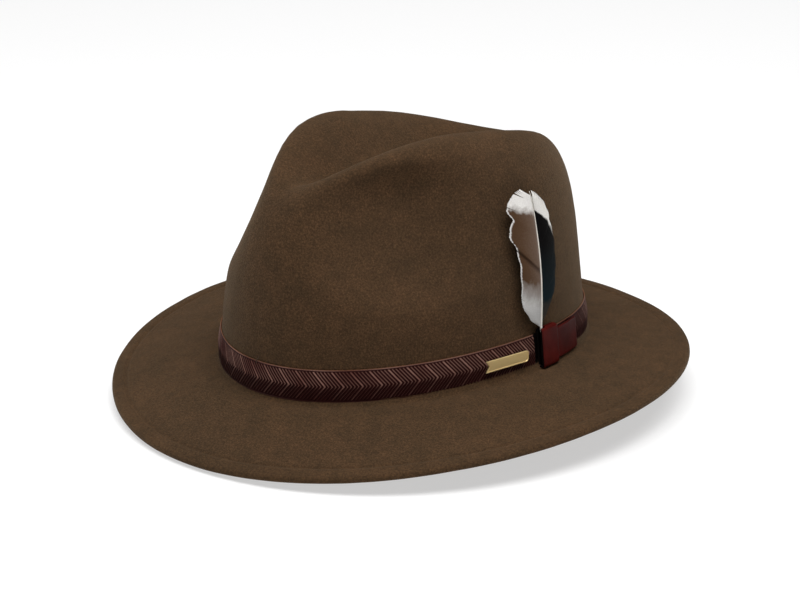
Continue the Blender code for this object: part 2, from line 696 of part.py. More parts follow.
def build():
    clear_scene()
    parts = new_collection("fedora_hat")
    cutters = new_collection("cutters")
    make_felt(parts)
    thread = make_welt_thread(parts)
    make_strap(parts, cutters)
    plain = make_tail(parts)
    make_keeper(parts, cutters, plain)
    make_badge(parts, cutters)
    make_tacks(parts, thread)
    make_feather(parts)
    ribbon = make_sweatband(parts, thread)
    make_sweatband_trim(parts, ribbon)
    make_lining(parts)


build()
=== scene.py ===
"""The looks of a felt fedora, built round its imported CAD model.

Metres, +Z up. The front of the hat is -Y and the wearer's left, with the feather, is +X.
"""

import math

import bmesh
import bpy
import numpy as np
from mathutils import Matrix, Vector, noise


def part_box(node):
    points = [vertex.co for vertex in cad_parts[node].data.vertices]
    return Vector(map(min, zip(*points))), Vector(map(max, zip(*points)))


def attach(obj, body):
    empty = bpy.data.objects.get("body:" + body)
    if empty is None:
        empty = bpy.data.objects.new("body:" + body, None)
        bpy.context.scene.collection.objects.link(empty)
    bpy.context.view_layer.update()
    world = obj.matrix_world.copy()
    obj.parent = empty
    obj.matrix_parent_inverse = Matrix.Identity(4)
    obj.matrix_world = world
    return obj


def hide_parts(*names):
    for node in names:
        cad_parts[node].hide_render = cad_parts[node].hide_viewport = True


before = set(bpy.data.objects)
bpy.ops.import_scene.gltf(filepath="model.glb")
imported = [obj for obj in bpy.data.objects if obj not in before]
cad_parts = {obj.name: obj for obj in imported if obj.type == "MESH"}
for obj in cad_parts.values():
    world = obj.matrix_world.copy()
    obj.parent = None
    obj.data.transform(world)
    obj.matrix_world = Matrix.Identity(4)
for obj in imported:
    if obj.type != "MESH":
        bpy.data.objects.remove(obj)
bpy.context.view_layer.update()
MM = 0.001

# ---------------------------------------------------------------- driving dimensions, as in the CAD

felt_low, felt_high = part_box("felt_body")
BRIM_HALF_WIDTH = (felt_high[0] - felt_low[0]) / 2.0
BRIM_HALF_LENGTH = (felt_high[1] - felt_low[1]) / 2.0
BRIM_SHIFT = (felt_high[1] + felt_low[1]) / 2.0
HEAD_HALF_LENGTH = 108.9 * MM
HEAD_HALF_WIDTH = 85.8 * MM
BREAK_HEIGHT = 2.4 * MM
BREAK_SADDLE = 2.6 * MM
FELT_THICKNESS = 2.2 * MM

CROWN_HEIGHT = 133.1 * MM
CROWN_FALL_TO_REAR = 0.186
CROWN_ARCH = 0.224
CROWN_LEAN_TO_LEFT = 0.051
CROWN_TWIST = 0.91
FRONT_SQUARENESS = 2.89
REAR_SQUARENESS = 5.94
SIDE_SQUARENESS = 3.93
FRONT_TAPER = 0.043
REAR_TAPER = 0.100
SIDE_TAPER = 0.176

DENT_DEPTH = 37.6 * MM
DENT_FRONT = -77.6 * MM
DENT_REAR = 65.0 * MM
DENT_FRONT_FADE = 32.5 * MM
DENT_REAR_FADE = 37.0 * MM
DENT_HALF_WIDTH = 28.0 * MM
DENT_FRONT_NARROWING = 7.3 * MM
DENT_NARROWS_FROM = -20.0 * MM
DENT_NARROWS_OVER = 60.0 * MM
DENT_ROUNDNESS = 1.65

HOLLOW_DEPTH = 13.8 * MM
HOLLOW_ANGLE = 58.0
HOLLOW_FRONT_REACH = 44.0
HOLLOW_REAR_REACH = 73.0
HOLLOW_REAR_FADE = 48.0
HOLLOW_HEIGHT = 96.6 * MM
HOLLOW_DROP = 46.6 * MM
HOLLOW_RISE = 27.0 * MM
HOLLOW_SOFTNESS = 0.25
PRESS_DEPTH = 8.0 * MM
PRESS_ANGLE = 58.0
PRESS_REACH = 45.0
PRESS_HEIGHT = 92.0 * MM
PRESS_RISE = 27.0 * MM
PRESS_DROP = 43.0 * MM
PRESS_SOFTNESS = 0.06
PRESS_FADE_START = 58.0
PRESS_FADE = 30.0
RIDGE_INNER_REACH = 0.36
RIDGE_BREADTH = 0.32

BRIM_EDGE_HEIGHT = -6.8 * MM
BRIM_FRONT_DIP = 8.3 * MM
BRIM_END_DIP = 4.9 * MM
BRIM_CURVE = 1.3
WELT_WIDTH = 8.4 * MM
WELT_THICKNESS = 3.9 * MM

STRAP_HEIGHT = 17.2 * MM
STRAP_LIFT = 1.8 * MM
STRAP_GAP = 0.3 * MM
STRAP_THICKNESS = 1.5 * MM
STRAP_FRONT_END = 95.2
STRAP_REAR_END = 105.0
TONGUE_END = 96.6
TONGUE_THICKNESS = 0.5 * MM
KEEPER_FRONT = 96.8
KEEPER_REAR = 104.2
KEEPER_LIFT = 0.5 * MM
KEEPER_HEIGHT = 21.2 * MM
KEEPER_WALL = 1.0 * MM
KEEPER_OUT = 4.6 * MM
NOTCH_DEGREES = 2.3
NOTCH_CLEARANCE = 0.1 * MM
TAIL_FRONT = 100.0
TAIL_REAR = 117.0
TAIL_OUT = 3.2 * MM
TAIL_THICKNESS = 1.1 * MM
TAIL_HEIGHT = 16.4 * MM

# Embossing: chevrons that point rearwards, in groups of fine ridges with one broad ridge.
CHEVRON_PERIOD = 9.8 * MM
CHEVRON_SLOPE = 0.85
CHEVRON_DEPTH = 0.34 * MM
STRAP_CAMBER = 0.85 * MM
FINE_RIDGES = (0.7 * MM, 2.6 * MM, 4.5 * MM, 6.4 * MM)
FINE_RIDGE_WIDTH = 0.75 * MM
BROAD_RIDGE = 8.5 * MM
BROAD_RIDGE_WIDTH = 1.2 * MM
STRAP_MARGIN = 0.9 * MM
EDGE_GROOVE_WIDTH = 0.28 * MM

BADGE_ANGLE = 83.8
BADGE_LENGTH = 29.0 * MM
BADGE_HEIGHT = 6.2 * MM
BADGE_THICKNESS = 0.9 * MM
BADGE_NOTCH = 2.0 * MM
BADGE_CORNER = 1.5 * MM
BADGE_OUT = 2.3 * MM
BADGE_LIFT = 10.3 * MM
BADGE_RIM = 0.55 * MM
BADGE_SUNK = 0.22 * MM
PRONG_RADIUS = 0.6 * MM
PRONG_SPACING = 17.0 * MM

# Feather: rows are angle, height and distance from the felt, in degrees and mm.
QUILL_PATH = ((97.9, 7.0, 2.4), (97.9, 16.0, 2.4), (97.9, 27.0, 2.5), (98.1, 40.0, 3.8), (98.2, 52.0, 4.8),
              (98.6, 65.0, 5.2), (99.0, 79.0, 5.4), (99.3, 88.0, 5.6), (99.5, 96.0, 5.8))
QUILL_BASE_RADIUS = 0.80 * MM
QUILL_TIP_RADIUS = 0.16 * MM
QUILL_DARK_TOP = 25.0 * MM
LEFT_VANE = ((28.0, 96.9, 2.8), (33.0, 92.9, 4.2), (40.5, 90.0, 5.2), (49.0, 89.2, 5.8), (57.0, 89.9, 6.0),
             (64.0, 90.7, 6.1), (70.0, 90.5, 6.2), (74.0, 89.8, 6.3), (79.0, 88.9, 6.4), (83.0, 89.6, 6.5),
             (86.5, 90.9, 6.6), (89.0, 90.3, 6.7), (92.0, 89.7, 6.8), (95.0, 90.4, 6.9), (99.0, 92.8, 7.0),
             (100.3, 95.5, 6.9))
RIGHT_VANE = ((31.0, 98.9, 2.9), (38.5, 102.0, 4.2), (44.0, 104.1, 4.6), (55.5, 105.4, 5.0),
              (66.5, 105.9, 5.2), (77.0, 105.4, 5.6), (86.0, 104.8, 5.8), (91.5, 103.9, 6.0),
              (97.0, 101.2, 6.1), (98.3, 100.1, 6.1))

# Inside. Distances run inwards from the felt's outer face.
SWEATBAND_IN = 4.6 * MM
SWEATBAND_THICKNESS = 1.0 * MM
SWEATBAND_BOTTOM = 1.1 * MM
SWEATBAND_TOP = 40.0 * MM
SWEATBAND_SPLIT = 1.0
TAPE_OUTER_IN = 2.5 * MM
TAPE_INNER_IN = 5.6 * MM
TAPE_THICKNESS = 0.8 * MM
REED_IN = 3.2 * MM
REED_HEIGHT = 1.9 * MM
REED_RADIUS = 0.65 * MM
STITCH_RADIUS = 0.25 * MM
STITCH_GAP = 0.09 * MM
WELT_STITCH_INSET = 2.0 * MM
WELT_STITCH_GAP = 0.35 * MM
SWEATBAND_STITCH_HEIGHT = 4.5 * MM
LINING_IN = 3.2 * MM
LINING_THICKNESS = 0.4 * MM
LINING_BOTTOM = 22.0 * MM
LINING_SEAM = 0.597
LINING_SEAM_GAP = 0.01
LINING_END = 0.9999
WRINKLE_DEPTH = 0.35 * MM
PIPING_RADIUS = 0.8 * MM
PIPING_IN = 5.4 * MM
BACK_TAB_WIDTH = 12.0 * MM
BACK_TAB_BOTTOM = 6.0 * MM
BACK_TAB_TOP = 37.0 * MM
TRIM_THICKNESS = 0.5 * MM
TRIM_GAP = 0.3 * MM
BOW_WIDTH = 26.0 * MM
BOW_HEIGHT = 9.0 * MM
BOW_CENTRE_HEIGHT = 14.0 * MM
BOW_LOOP_DEPTH = 0.75 * MM
BOW_HALF_THICKNESS = 0.22 * MM
LABEL_ANGLE = 150.0
LABEL_WIDTH = 24.0 * MM
LABEL_BOTTOM = 16.0 * MM
LABEL_TOP = 29.0 * MM

QUARTER_TURN = math.pi / 2
UPWARD = np.array([0.0, 0.0, 1.0])


# ---------------------------------------------------------------- the felt's shape


def ease(x):
    """Smooth step from 0 to 1."""
    x = np.clip(x, 0.0, 1.0)
    return x * x * (3.0 - 2.0 * x)


def break_height(angle):
    return BREAK_HEIGHT - BREAK_SADDLE * np.cos(2.0 * angle)


def dent_depth(x, y):
    along = ease((y - DENT_FRONT + DENT_FRONT_FADE) / (2.0 * DENT_FRONT_FADE))
    along = along * ease((DENT_REAR + DENT_REAR_FADE - y) / (2.0 * DENT_REAR_FADE))
    width = DENT_HALF_WIDTH - DENT_FRONT_NARROWING * ease((DENT_NARROWS_FROM - y) / DENT_NARROWS_OVER)
    return DENT_DEPTH * along * np.exp(-(np.abs(x / width) ** DENT_ROUNDNESS))


def hollow_depth(angle, z, reach):
    """How far a side is pressed in: most just under the ridge, fading to a soft lower edge.

    The wearer's left side has one more press of a hand, in front, with a firmer edge.
    """
    around = np.degrees(np.arccos(np.cos(angle))) - HOLLOW_ANGLE
    along = around / np.where(around > 0.0, HOLLOW_REAR_REACH, HOLLOW_FRONT_REACH)
    up = z - HOLLOW_HEIGHT
    up = up / np.where(up < 0.0, HOLLOW_DROP, HOLLOW_RISE)
    inside = 1.0 - along * along - up * up
    scoop = (inside + np.sqrt(inside * inside + HOLLOW_SOFTNESS**2)) / 2.0
    outside = ease((reach - RIDGE_INNER_REACH) / RIDGE_BREADTH)
    hollow = HOLLOW_DEPTH * scoop * (1.0 - ease(around / HOLLOW_REAR_FADE)) * outside

    turned = np.degrees(np.arctan2(np.sin(angle), np.cos(angle)))
    aside = (turned - PRESS_ANGLE) / PRESS_REACH
    up = z - PRESS_HEIGHT
    up = up / np.where(up < 0.0, PRESS_DROP, PRESS_RISE)
    inside = 1.0 - aside * aside - up * up
    press = PRESS_DEPTH * (inside + np.sqrt(inside * inside + PRESS_SOFTNESS**2)) / 2.0
    return hollow + press * (1.0 - ease((turned - PRESS_FADE_START) / PRESS_FADE)) * outside


def crown_point(angle, t):
    """Point on the felt's outer face: t is 0 at the break line and 1 at the middle of the top."""
    angle, t = np.broadcast_arrays(np.asarray(angle, float), np.asarray(t, float))
    side, back = np.sin(angle), -np.cos(angle)
    front_share, rear_share = ease(-back), ease(back)
    side_share = 1.0 - front_share - rear_share
    squareness = (
        FRONT_SQUARENESS * front_share + REAR_SQUARENESS * rear_share + SIDE_SQUARENESS * side_share
    )
    reach = np.maximum(np.cos(t * QUARTER_TURN), 0.0) ** (2.0 / squareness)
    rise = np.maximum(np.sin(t * QUARTER_TURN), 0.0) ** (2.0 / squareness)
    taper = FRONT_TAPER * front_share + REAR_TAPER * rear_share
    x = HEAD_HALF_WIDTH * (1.0 - SIDE_TAPER * rise) * side * reach
    y = HEAD_HALF_LENGTH * (1.0 - taper * rise) * back * reach
    top = CROWN_HEIGHT - CROWN_FALL_TO_REAR * y - CROWN_ARCH * y * y
    top = top + CROWN_LEAN_TO_LEFT * x + CROWN_TWIST * x * y
    base = break_height(angle)
    z = base + (top - base) * rise - dent_depth(x, y) * ease((rise - 0.45) / 0.5)
    inwards = np.stack([side / HEAD_HALF_WIDTH, back / HEAD_HALF_LENGTH])
    inwards = -inwards / np.linalg.norm(inwards, axis=0) * hollow_depth(angle, z, reach)
    return np.stack([x + inwards[0], y + inwards[1], z], -1)


def brim_point(angle, u):
    """Point on the brim's upper face: u is 0 at the break line and 1 at the edge."""
    angle, u = np.broadcast_arrays(np.asarray(angle, float), np.asarray(u, float))
    side, back = np.sin(angle), -np.cos(angle)
    x = side * (HEAD_HALF_WIDTH + (BRIM_HALF_WIDTH - HEAD_HALF_WIDTH) * u)
    y = back * (HEAD_HALF_LENGTH + (BRIM_HALF_LENGTH - HEAD_HALF_LENGTH) * u) + BRIM_SHIFT * u
    edge = BRIM_EDGE_HEIGHT + BRIM_FRONT_DIP * back - BRIM_END_DIP * np.cos(2.0 * angle)
    base = break_height(angle)
    return np.stack([x, y, base + (edge - base) * u**BRIM_CURVE], -1)


def t_at_height(angle, z):
    """The t at which the wall reaches height z, by halving the wall's own range of t."""
    angle, z = np.broadcast_arrays(np.asarray(angle, float), np.asarray(z, float))
    low, high = np.zeros_like(z), np.full_like(z, 0.75)
    for _ in range(36):
        middle = (low + high) / 2.0
        below = crown_point(angle, middle)[..., 2] < z
        low, high = np.where(below, middle, low), np.where(below, high, middle)
    return (low + high) / 2.0


def wall_point(angle, z, out):
    """Point beside the wall at height z, a distance out from the felt's outer face, level with z."""
    angle, z, out = np.broadcast_arrays(*(np.asarray(v, float) for v in (angle, z, out)))
    t = t_at_height(angle, z)
    step = 1e-3
    here = crown_point(angle, t)
    along = crown_point(angle + step, t) - crown_point(angle - step, t)
    normal = np.stack([along[..., 1], -along[..., 0]], -1)
    flat = here[..., :2] + unit(normal) * out[..., None]
    return np.concatenate([flat, z[..., None]], -1)


def crown_offset(angle, t, inwards):
    """Point a distance inwards from the crown's outer face, square to the face."""
    angle, t = np.broadcast_arrays(np.asarray(angle, float), np.asarray(t, float))
    step = 2e-3
    held = np.clip(t, step, 1.0 - 2.0 * step)
    along = crown_point(angle + step, held) - crown_point(angle - step, held)
    upward = crown_point(angle, held + step) - crown_point(angle, held - step)
    return crown_point(angle, t) - unit(np.cross(along, upward)) * inwards


def turn(count):
    return np.linspace(0.0, 2.0 * math.pi, count, endpoint=False)


def run_along(points):
    """How far each point of a line lies from the first, measured along the line."""
    return np.concatenate([[0.0], np.cumsum(np.linalg.norm(np.diff(points, axis=0), axis=1))])


def unit(vectors):
    return vectors / np.linalg.norm(vectors, axis=-1, keepdims=True)


# ---------------------------------------------------------------- mesh helpers


def mesh_object(name, points, faces, material, smooth=True):
    data = bpy.data.meshes.new(name)
    data.from_pydata([tuple(p) for p in points], [], faces)
    data.update()
    obj = bpy.data.objects.new(name, data)
    bpy.context.scene.collection.objects.link(obj)
    data.materials.append(material)
    if smooth:
        data.shade_smooth()
    return obj


def grid_faces(rows, columns, close_rows=False, close_columns=False):
    """Quads over an array of points numbered row by row."""
    faces = []
    for i in range(rows if close_rows else rows - 1):
        for j in range(columns if close_columns else columns - 1):
            here, there = i * columns, ((i + 1) % rows) * columns
            after = (j + 1) % columns
            faces.append((here + j, there + j, there + after, here + after))
    return faces


def closed_sweep(name, rings, material, smooth=True):
    """A closed solid through rings of points, capped at both ends."""
    count, size = rings.shape[:2]
    faces = grid_faces(count, size, close_columns=True)
    faces.append(tuple(range(size)))
    faces.append(tuple((count - 1) * size + j for j in reversed(range(size))))
    obj = mesh_object(name, rings.reshape(-1, 3), faces, material, smooth)
    fix_normals(obj)
    return obj


def closed_ring(name, sections, material):
    """A closed solid round a loop of closed sections."""
    count, size = sections.shape[:2]
    faces = grid_faces(count, size, close_rows=True, close_columns=True)
    obj = mesh_object(name, sections.reshape(-1, 3), faces, material)
    fix_normals(obj)
    return obj


def fix_normals(obj):
    mesh = bmesh.new()
    mesh.from_mesh(obj.data)
    bmesh.ops.recalc_face_normals(mesh, faces=mesh.faces)
    mesh.to_mesh(obj.data)
    mesh.free()


def grid_normals(points, wrap):
    """Unit normals of a grid whose rows run round and whose columns run up the surface."""
    if wrap:
        along = np.roll(points, -1, 0) - np.roll(points, 1, 0)
    else:
        along = np.gradient(points, axis=0)
    across = np.gradient(points, axis=1)
    normal = np.cross(along, across)
    return normal / (np.linalg.norm(normal, axis=-1, keepdims=True) + 1e-12)


def unevenness(points, size, seed):
    """Smooth noise from -1 to 1 at each point, with features of about the given size."""
    shift = Vector((seed * 7.31, seed * 3.17, seed * 5.77))
    flat = points.reshape(-1, 3) / size
    values = [noise.noise(Vector(p) + shift) for p in flat]
    return np.array(values).reshape(points.shape[:-1])


# ---------------------------------------------------------------- material helpers


class Shader:
    """A Principled material whose node tree is built with short calls."""

    # The Mix node's sockets for colours.
    MIX_SHARE, MIX_A, MIX_B = 0, 6, 7
    MIX_RESULT = 2

    def __init__(self, name, roughness, metallic=0.0, sheen=0.0, sheen_tint=(1.0, 1.0, 1.0), gloss=0.5):
        self.material = bpy.data.materials.new(name)
        self.material.use_nodes = True
        self.tree = self.material.node_tree
        self.shader = self.tree.nodes["Principled BSDF"]
        self.set(self.shader, "Roughness", roughness)
        self.set(self.shader, "Metallic", metallic)
        self.set(self.shader, "Sheen Weight", sheen)
        self.set(self.shader, "Sheen Roughness", 0.45)
        self.set(self.shader, "Sheen Tint", sheen_tint)
        self.set(self.shader, "Specular IOR Level", gloss)
        self.place = self.tree.nodes.new("ShaderNodeTexCoord").outputs["Object"]
        self.uv = self.tree.nodes.new("ShaderNodeTexCoord").outputs["UV"]

    def set(self, node, name, value):
        """Links a socket or sets a plain value. The input has a name or a number, a colour three numbers."""
        socket = node.inputs[name]
        if isinstance(value, bpy.types.NodeSocket):
            self.tree.links.new(value, socket)
        elif socket.type == "RGBA" and len(value) == 3:
            socket.default_value = (*value, 1.0)
        else:
            socket.default_value = value

    def stretch(self, scale):
        mapping = self.tree.nodes.new("ShaderNodeMapping")
        self.set(mapping, "Vector", self.place)
        self.set(mapping, "Scale", scale)
        return mapping.outputs["Vector"]

    def noise(self, size, detail=2.0, roughness=0.5, vector=None):
        """Noise with features of about the given size, in metres."""
        node = self.tree.nodes.new("ShaderNodeTexNoise")
        self.set(node, "Vector", vector or self.place)
        self.set(node, "Scale", 1.0 / size)
        self.set(node, "Detail", detail)
        self.set(node, "Roughness", roughness)
        return node.outputs["Fac"]

    def cells(self, size):
        node = self.tree.nodes.new("ShaderNodeTexVoronoi")
        self.set(node, "Vector", self.place)
        self.set(node, "Scale", 1.0 / size)
        return node.outputs["Distance"]

    def ribs(self, size):
        """Waves one above another, each about as high as the given size."""
        node = self.tree.nodes.new("ShaderNodeTexWave")
        node.bands_direction = "Z"
        self.set(node, "Vector", self.place)
        self.set(node, "Scale", 0.314 / size)
        self.set(node, "Distortion", 0.3)
        return node.outputs["Fac"]

    def ramp(self, value, stops):
        node = self.tree.nodes.new("ShaderNodeValToRGB")
        self.set(node, "Fac", value)
        elements = node.color_ramp.elements
        while len(elements) < len(stops):
            elements.new(0.5)
        for element, (place, color) in zip(elements, stops):
            element.position = place
            element.color = (*color, 1.0)
        return node.outputs["Color"]

    def level(self, value, low, high, start=0.0, end=1.0):
        """Maps start..end to low..high, held at both ends."""
        node = self.tree.nodes.new("ShaderNodeMapRange")
        self.set(node, "Value", value)
        for name, number in (("From Min", start), ("From Max", end), ("To Min", low), ("To Max", high)):
            self.set(node, name, number)
        return node.outputs["Result"]

    def math(self, operation, a, b):
        node = self.tree.nodes.new("ShaderNodeMath")
        node.operation = operation
        self.set(node, 0, a)
        self.set(node, 1, b)
        return node.outputs["Value"]

    def mix(self, share, a, b, blend="MIX"):
        node = self.tree.nodes.new("ShaderNodeMix")
        node.data_type = "RGBA"
        node.blend_type = blend
        for number, value in ((self.MIX_SHARE, share), (self.MIX_A, a), (self.MIX_B, b)):
            self.set(node, number, value)
        return node.outputs[self.MIX_RESULT]

    def part_of(self, vector, axis):
        node = self.tree.nodes.new("ShaderNodeSeparateXYZ")
        self.set(node, "Vector", vector)
        return node.outputs[axis]

    def color(self, value):
        self.set(self.shader, "Base Color", value)

    def roughness(self, value):
        self.set(self.shader, "Roughness", value)

    def bump(self, height, distance, strength=1.0, before=None):
        node = self.tree.nodes.new("ShaderNodeBump")
        self.set(node, "Height", height)
        self.set(node, "Distance", distance)
        self.set(node, "Strength", strength)
        if before is not None:
            self.set(node, "Normal", before)
        self.set(self.shader, "Normal", node.outputs["Normal"])
        return node.outputs["Normal"]


def felt_material():
    """Wool felt: faintly mottled brown, matt, with a short nap."""
    felt = Shader("felt_brown", 0.95, sheen=0.12, sheen_tint=(0.95, 0.70, 0.45), gloss=0.12)
    patches = felt.noise(50 * MM, 3.0, 0.55)
    blotches = felt.noise(9 * MM, 4.0, 0.6)
    fibres = felt.noise(1.0 * MM, 4.0, 0.8)
    base = felt.ramp(patches, ((0.35, (0.0470, 0.0262, 0.0123)), (0.65, (0.0560, 0.0300, 0.0138))))
    spotted = felt.ramp(blotches, ((0.35, (0.88, 0.90, 0.90)), (0.65, (1.12, 1.10, 1.10))))
    base = felt.mix(1.0, base, spotted, "MULTIPLY")
    flecks = felt.ramp(
        fibres, ((0.32, (0.52, 0.52, 0.52)), (0.50, (0.98, 0.98, 0.98)), (0.68, (1.75, 1.72, 1.70)))
    )
    felt.color(felt.mix(1.0, base, flecks, "MULTIPLY"))
    felt.roughness(felt.level(fibres, 0.90, 1.0))
    coarse = felt.bump(felt.noise(2.2 * MM, 4.0, 0.65), 0.35 * MM, 0.5)
    felt.bump(felt.noise(0.6 * MM, 3.0, 0.75), 0.30 * MM, 0.8, before=coarse)
    return felt.material


# ---------------------------------------------------------------- the felt body

FELT_AROUND = 320
BREAK_ROUNDING_OUT = 0.05
BREAK_ROUNDING_UP = 0.010
DOME_RISE_END = 0.90
DOME_REACH_START, DOME_REACH_END = 0.715, 0.004
BORDER_REACH = 1.6
GROOVE_DEPTH = 0.45 * MM
GROOVE_HALF_WIDTH = 1.0 * MM
WELT_PUFF = 0.45 * MM
BLOCKED_WAVE, BLOCKED_WAVE_SIZE = 0.30 * MM, 38.0 * MM
FINE_WAVE, FINE_WAVE_SIZE = 0.10 * MM, 9.0 * MM
FOLD_EDGE_BREADTH = 0.8 * MM


def felt_outer(angles):
    """The felt's outer face from the brim's edge to the middle of the top, with the break rounded.

    Also how many columns the sewn border has. Up the dome, the columns are evenly spread over its rise and
    then over its reach.
    """
    brim_width = BRIM_HALF_WIDTH - HEAD_HALF_WIDTH
    edge = 1.0 - WELT_THICKNESS / 2.0 / brim_width
    border = np.linspace(edge, edge - BORDER_REACH * WELT_WIDTH / brim_width, 24)
    inner = np.linspace(border[-1], BREAK_ROUNDING_OUT, 26)[1:]
    columns = [brim_point(angles, u) for u in (*border, *inner)]
    start, end, corner = columns[-1], crown_point(angles, BREAK_ROUNDING_UP), crown_point(angles, 0.0)
    for s in np.linspace(0.0, 1.0, 8)[1:-1]:
        columns.append(start * (1 - s) ** 2 + corner * 2 * s * (1 - s) + end * s**2)
    power = SIDE_SQUARENESS / 2.0
    rises = np.linspace(math.sin(BREAK_ROUNDING_UP * QUARTER_TURN) ** (1.0 / power), DOME_RISE_END, 40)
    reaches = np.linspace(DOME_REACH_START, DOME_REACH_END, 50)
    rows = np.concatenate([np.arcsin(rises**power), np.arccos(reaches**power)]) / QUARTER_TURN
    columns += [crown_point(angles, t) for t in rows]
    return np.stack(columns, 1), len(border)


def make_felt(material):
    """Crown and brim as one thin solid, with the folded and stitched edge and a hand-blocked unevenness."""
    angles = turn(FELT_AROUND)
    outer, border = felt_outer(angles)
    normals = grid_normals(outer, wrap=True)
    steps = np.linalg.norm(np.diff(outer[:, :border], axis=1), axis=-1)
    inset = np.concatenate([np.zeros((len(angles), 1)), np.cumsum(steps, 1)], 1) + WELT_THICKNESS / 2.0
    shape = np.zeros(outer.shape[:2])
    groove = np.exp(-(((inset - WELT_WIDTH) / GROOVE_HALF_WIDTH) ** 2))
    puff = np.sqrt(np.clip(1.0 - ((inset - WELT_WIDTH / 2.0) / (WELT_WIDTH / 2.0)) ** 2, 0.0, 1.0))
    shape[:, :border] = WELT_PUFF * puff - GROOVE_DEPTH * groove
    wave = BLOCKED_WAVE * unevenness(outer, BLOCKED_WAVE_SIZE, 1)
    wave += FINE_WAVE * unevenness(outer, FINE_WAVE_SIZE, 2)
    face = outer + normals * (shape + wave)[..., None]

    share = ease((inset - WELT_WIDTH) / FOLD_EDGE_BREADTH + 0.5)
    thickness = np.full(outer.shape[:2], FELT_THICKNESS)
    thickness[:, :border] = WELT_THICKNESS + (FELT_THICKNESS - WELT_THICKNESS) * share
    under = face - normals * thickness[..., None]

    out_of_edge = unit(face[:, 0] - face[:, 1])
    middle, half = (face[:, 0] + under[:, 0]) / 2.0, (face[:, 0] - under[:, 0]) / 2.0
    reach = np.linalg.norm(half, axis=-1, keepdims=True)
    rim = [
        middle + half * math.cos(a) + out_of_edge * reach * math.sin(a)
        for a in np.linspace(0.0, math.pi, 9)[1:-1]
    ]
    loop = np.concatenate([under[:, ::-1], np.stack(rim[::-1], 1), face], 1)
    rows, columns = loop.shape[:2]
    points = loop.reshape(-1, 3)
    faces = grid_faces(rows, columns, close_rows=True)
    for column, turned in ((0, True), (columns - 1, False)):
        ring = [i * columns + column for i in range(rows)]
        faces.append(tuple(reversed(ring)) if turned else tuple(ring))
    return finish_piece(mesh_object("felt_shell", points, faces, material), "felt_body", "hat")


# ---------------------------------------------------------------- helpers for the trim


def rounded_section(low, high, near, far, radius, front_points=2):
    """Height and distance round a rectangle with rounded corners; front_points lie on its far side."""
    quarter = np.linspace(0.0, QUARTER_TURN, 4)
    points = []
    corners = ((low + radius, near + radius, -1.0), (low + radius, far - radius, 2.0),
               (high - radius, far - radius, 1.0), (high - radius, near + radius, 0.0))
    for index, (h, out, start) in enumerate(corners):
        turned = start * QUARTER_TURN - quarter
        points += [(h + radius * math.cos(a), out + radius * math.sin(a)) for a in turned]
        if index == 1:
            points += [(h, far) for h in np.linspace(low + radius, high - radius, front_points)[1:-1]]
    return np.array(points).T


def wrap(name, angles, section, material):
    """A solid with this section that follows the crown's wall, its heights taken from the origin."""
    return closed_sweep(name, wall_point(angles[:, None], *section), material)


def finish_piece(obj, node, body):
    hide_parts(node)
    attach(obj, body)
    return obj


def give_uv(obj, places):
    """Stores a pair of numbers for each vertex as its UV."""
    layer = obj.data.uv_layers.new(name="place")
    for loop in obj.data.loops:
        layer.data[loop.index].uv = places[loop.vertex_index]


def round_tube(name, points, radii, sides, material, closed=False):
    """A round solid along points, with a radius at each."""
    points = np.asarray(points, float)
    ahead = unit(np.roll(points, -1, 0) - np.roll(points, 1, 0) if closed else np.gradient(points, axis=0))
    side = np.cross(ahead, UPWARD)
    side[np.linalg.norm(side, axis=-1) < 1e-3] = (1.0, 0.0, 0.0)
    side = unit(side)
    up = np.cross(side, ahead)
    turned = turn(sides)[:, None]
    reach = np.broadcast_to(radii, (len(points),))[:, None, None]
    rings = points[:, None] + reach * (side[:, None] * np.cos(turned) + up[:, None] * np.sin(turned))
    return closed_ring(name, rings, material) if closed else closed_sweep(name, rings, material)


def merge(name, objects):
    """One object from several."""
    mesh = bmesh.new()
    for obj in objects:
        mesh.from_mesh(obj.data)
    first = objects[0]
    mesh.to_mesh(first.data)
    mesh.free()
    for obj in objects[1:]:
        bpy.data.objects.remove(obj, do_unlink=True)
    first.name = first.data.name = name
    return first


def stitches(name, points, spacing, length, radius, material):
    """Separate stitches along a loop of points: each a short round bar whose ends dive in."""
    points = np.concatenate([points, points[:1]])
    run = run_along(points)
    count = int(run[-1] / spacing)
    bars = []
    for k in range(count):
        at = k * run[-1] / count + np.linspace(0.0, length, 5)
        line = np.stack([np.interp(at, run, points[:, axis]) for axis in range(3)], 1)
        bars.append(round_tube(name, line, radius * np.array([0.45, 1.0, 1.0, 1.0, 0.45]), 6, material))
    return merge(name, bars)


# ---------------------------------------------------------------- leather band, keeper, tail and plate

# Near-black: edge dye on the keeper's cut ends, and painted shade inside the keeper and on the strap's
# tongue.
DYE_AND_SHADE_BLACK = (0.003, 0.0015, 0.0015)


def leather_material(name, dark, light, roughness, grain):
    """Smooth leather with fine pores. Where the UV's first number is 1 it is black: edge dye on cut ends, and
    painted shade inside the keeper's loop.
    """
    leather = Shader(name, roughness, gloss=0.07)
    pores = leather.cells(grain)
    cloud = leather.noise(14 * MM, 3.0)
    face = leather.mix(leather.level(cloud, 0.0, 1.0, 0.35, 0.65), dark, light)
    leather.color(leather.mix(leather.part_of(leather.uv, "X"), face, DYE_AND_SHADE_BLACK))
    leather.roughness(leather.level(leather.noise(3 * MM, 3.0), roughness - 0.07, roughness + 0.09))
    leather.bump(pores, 0.06 * MM, 0.6)
    return leather.material


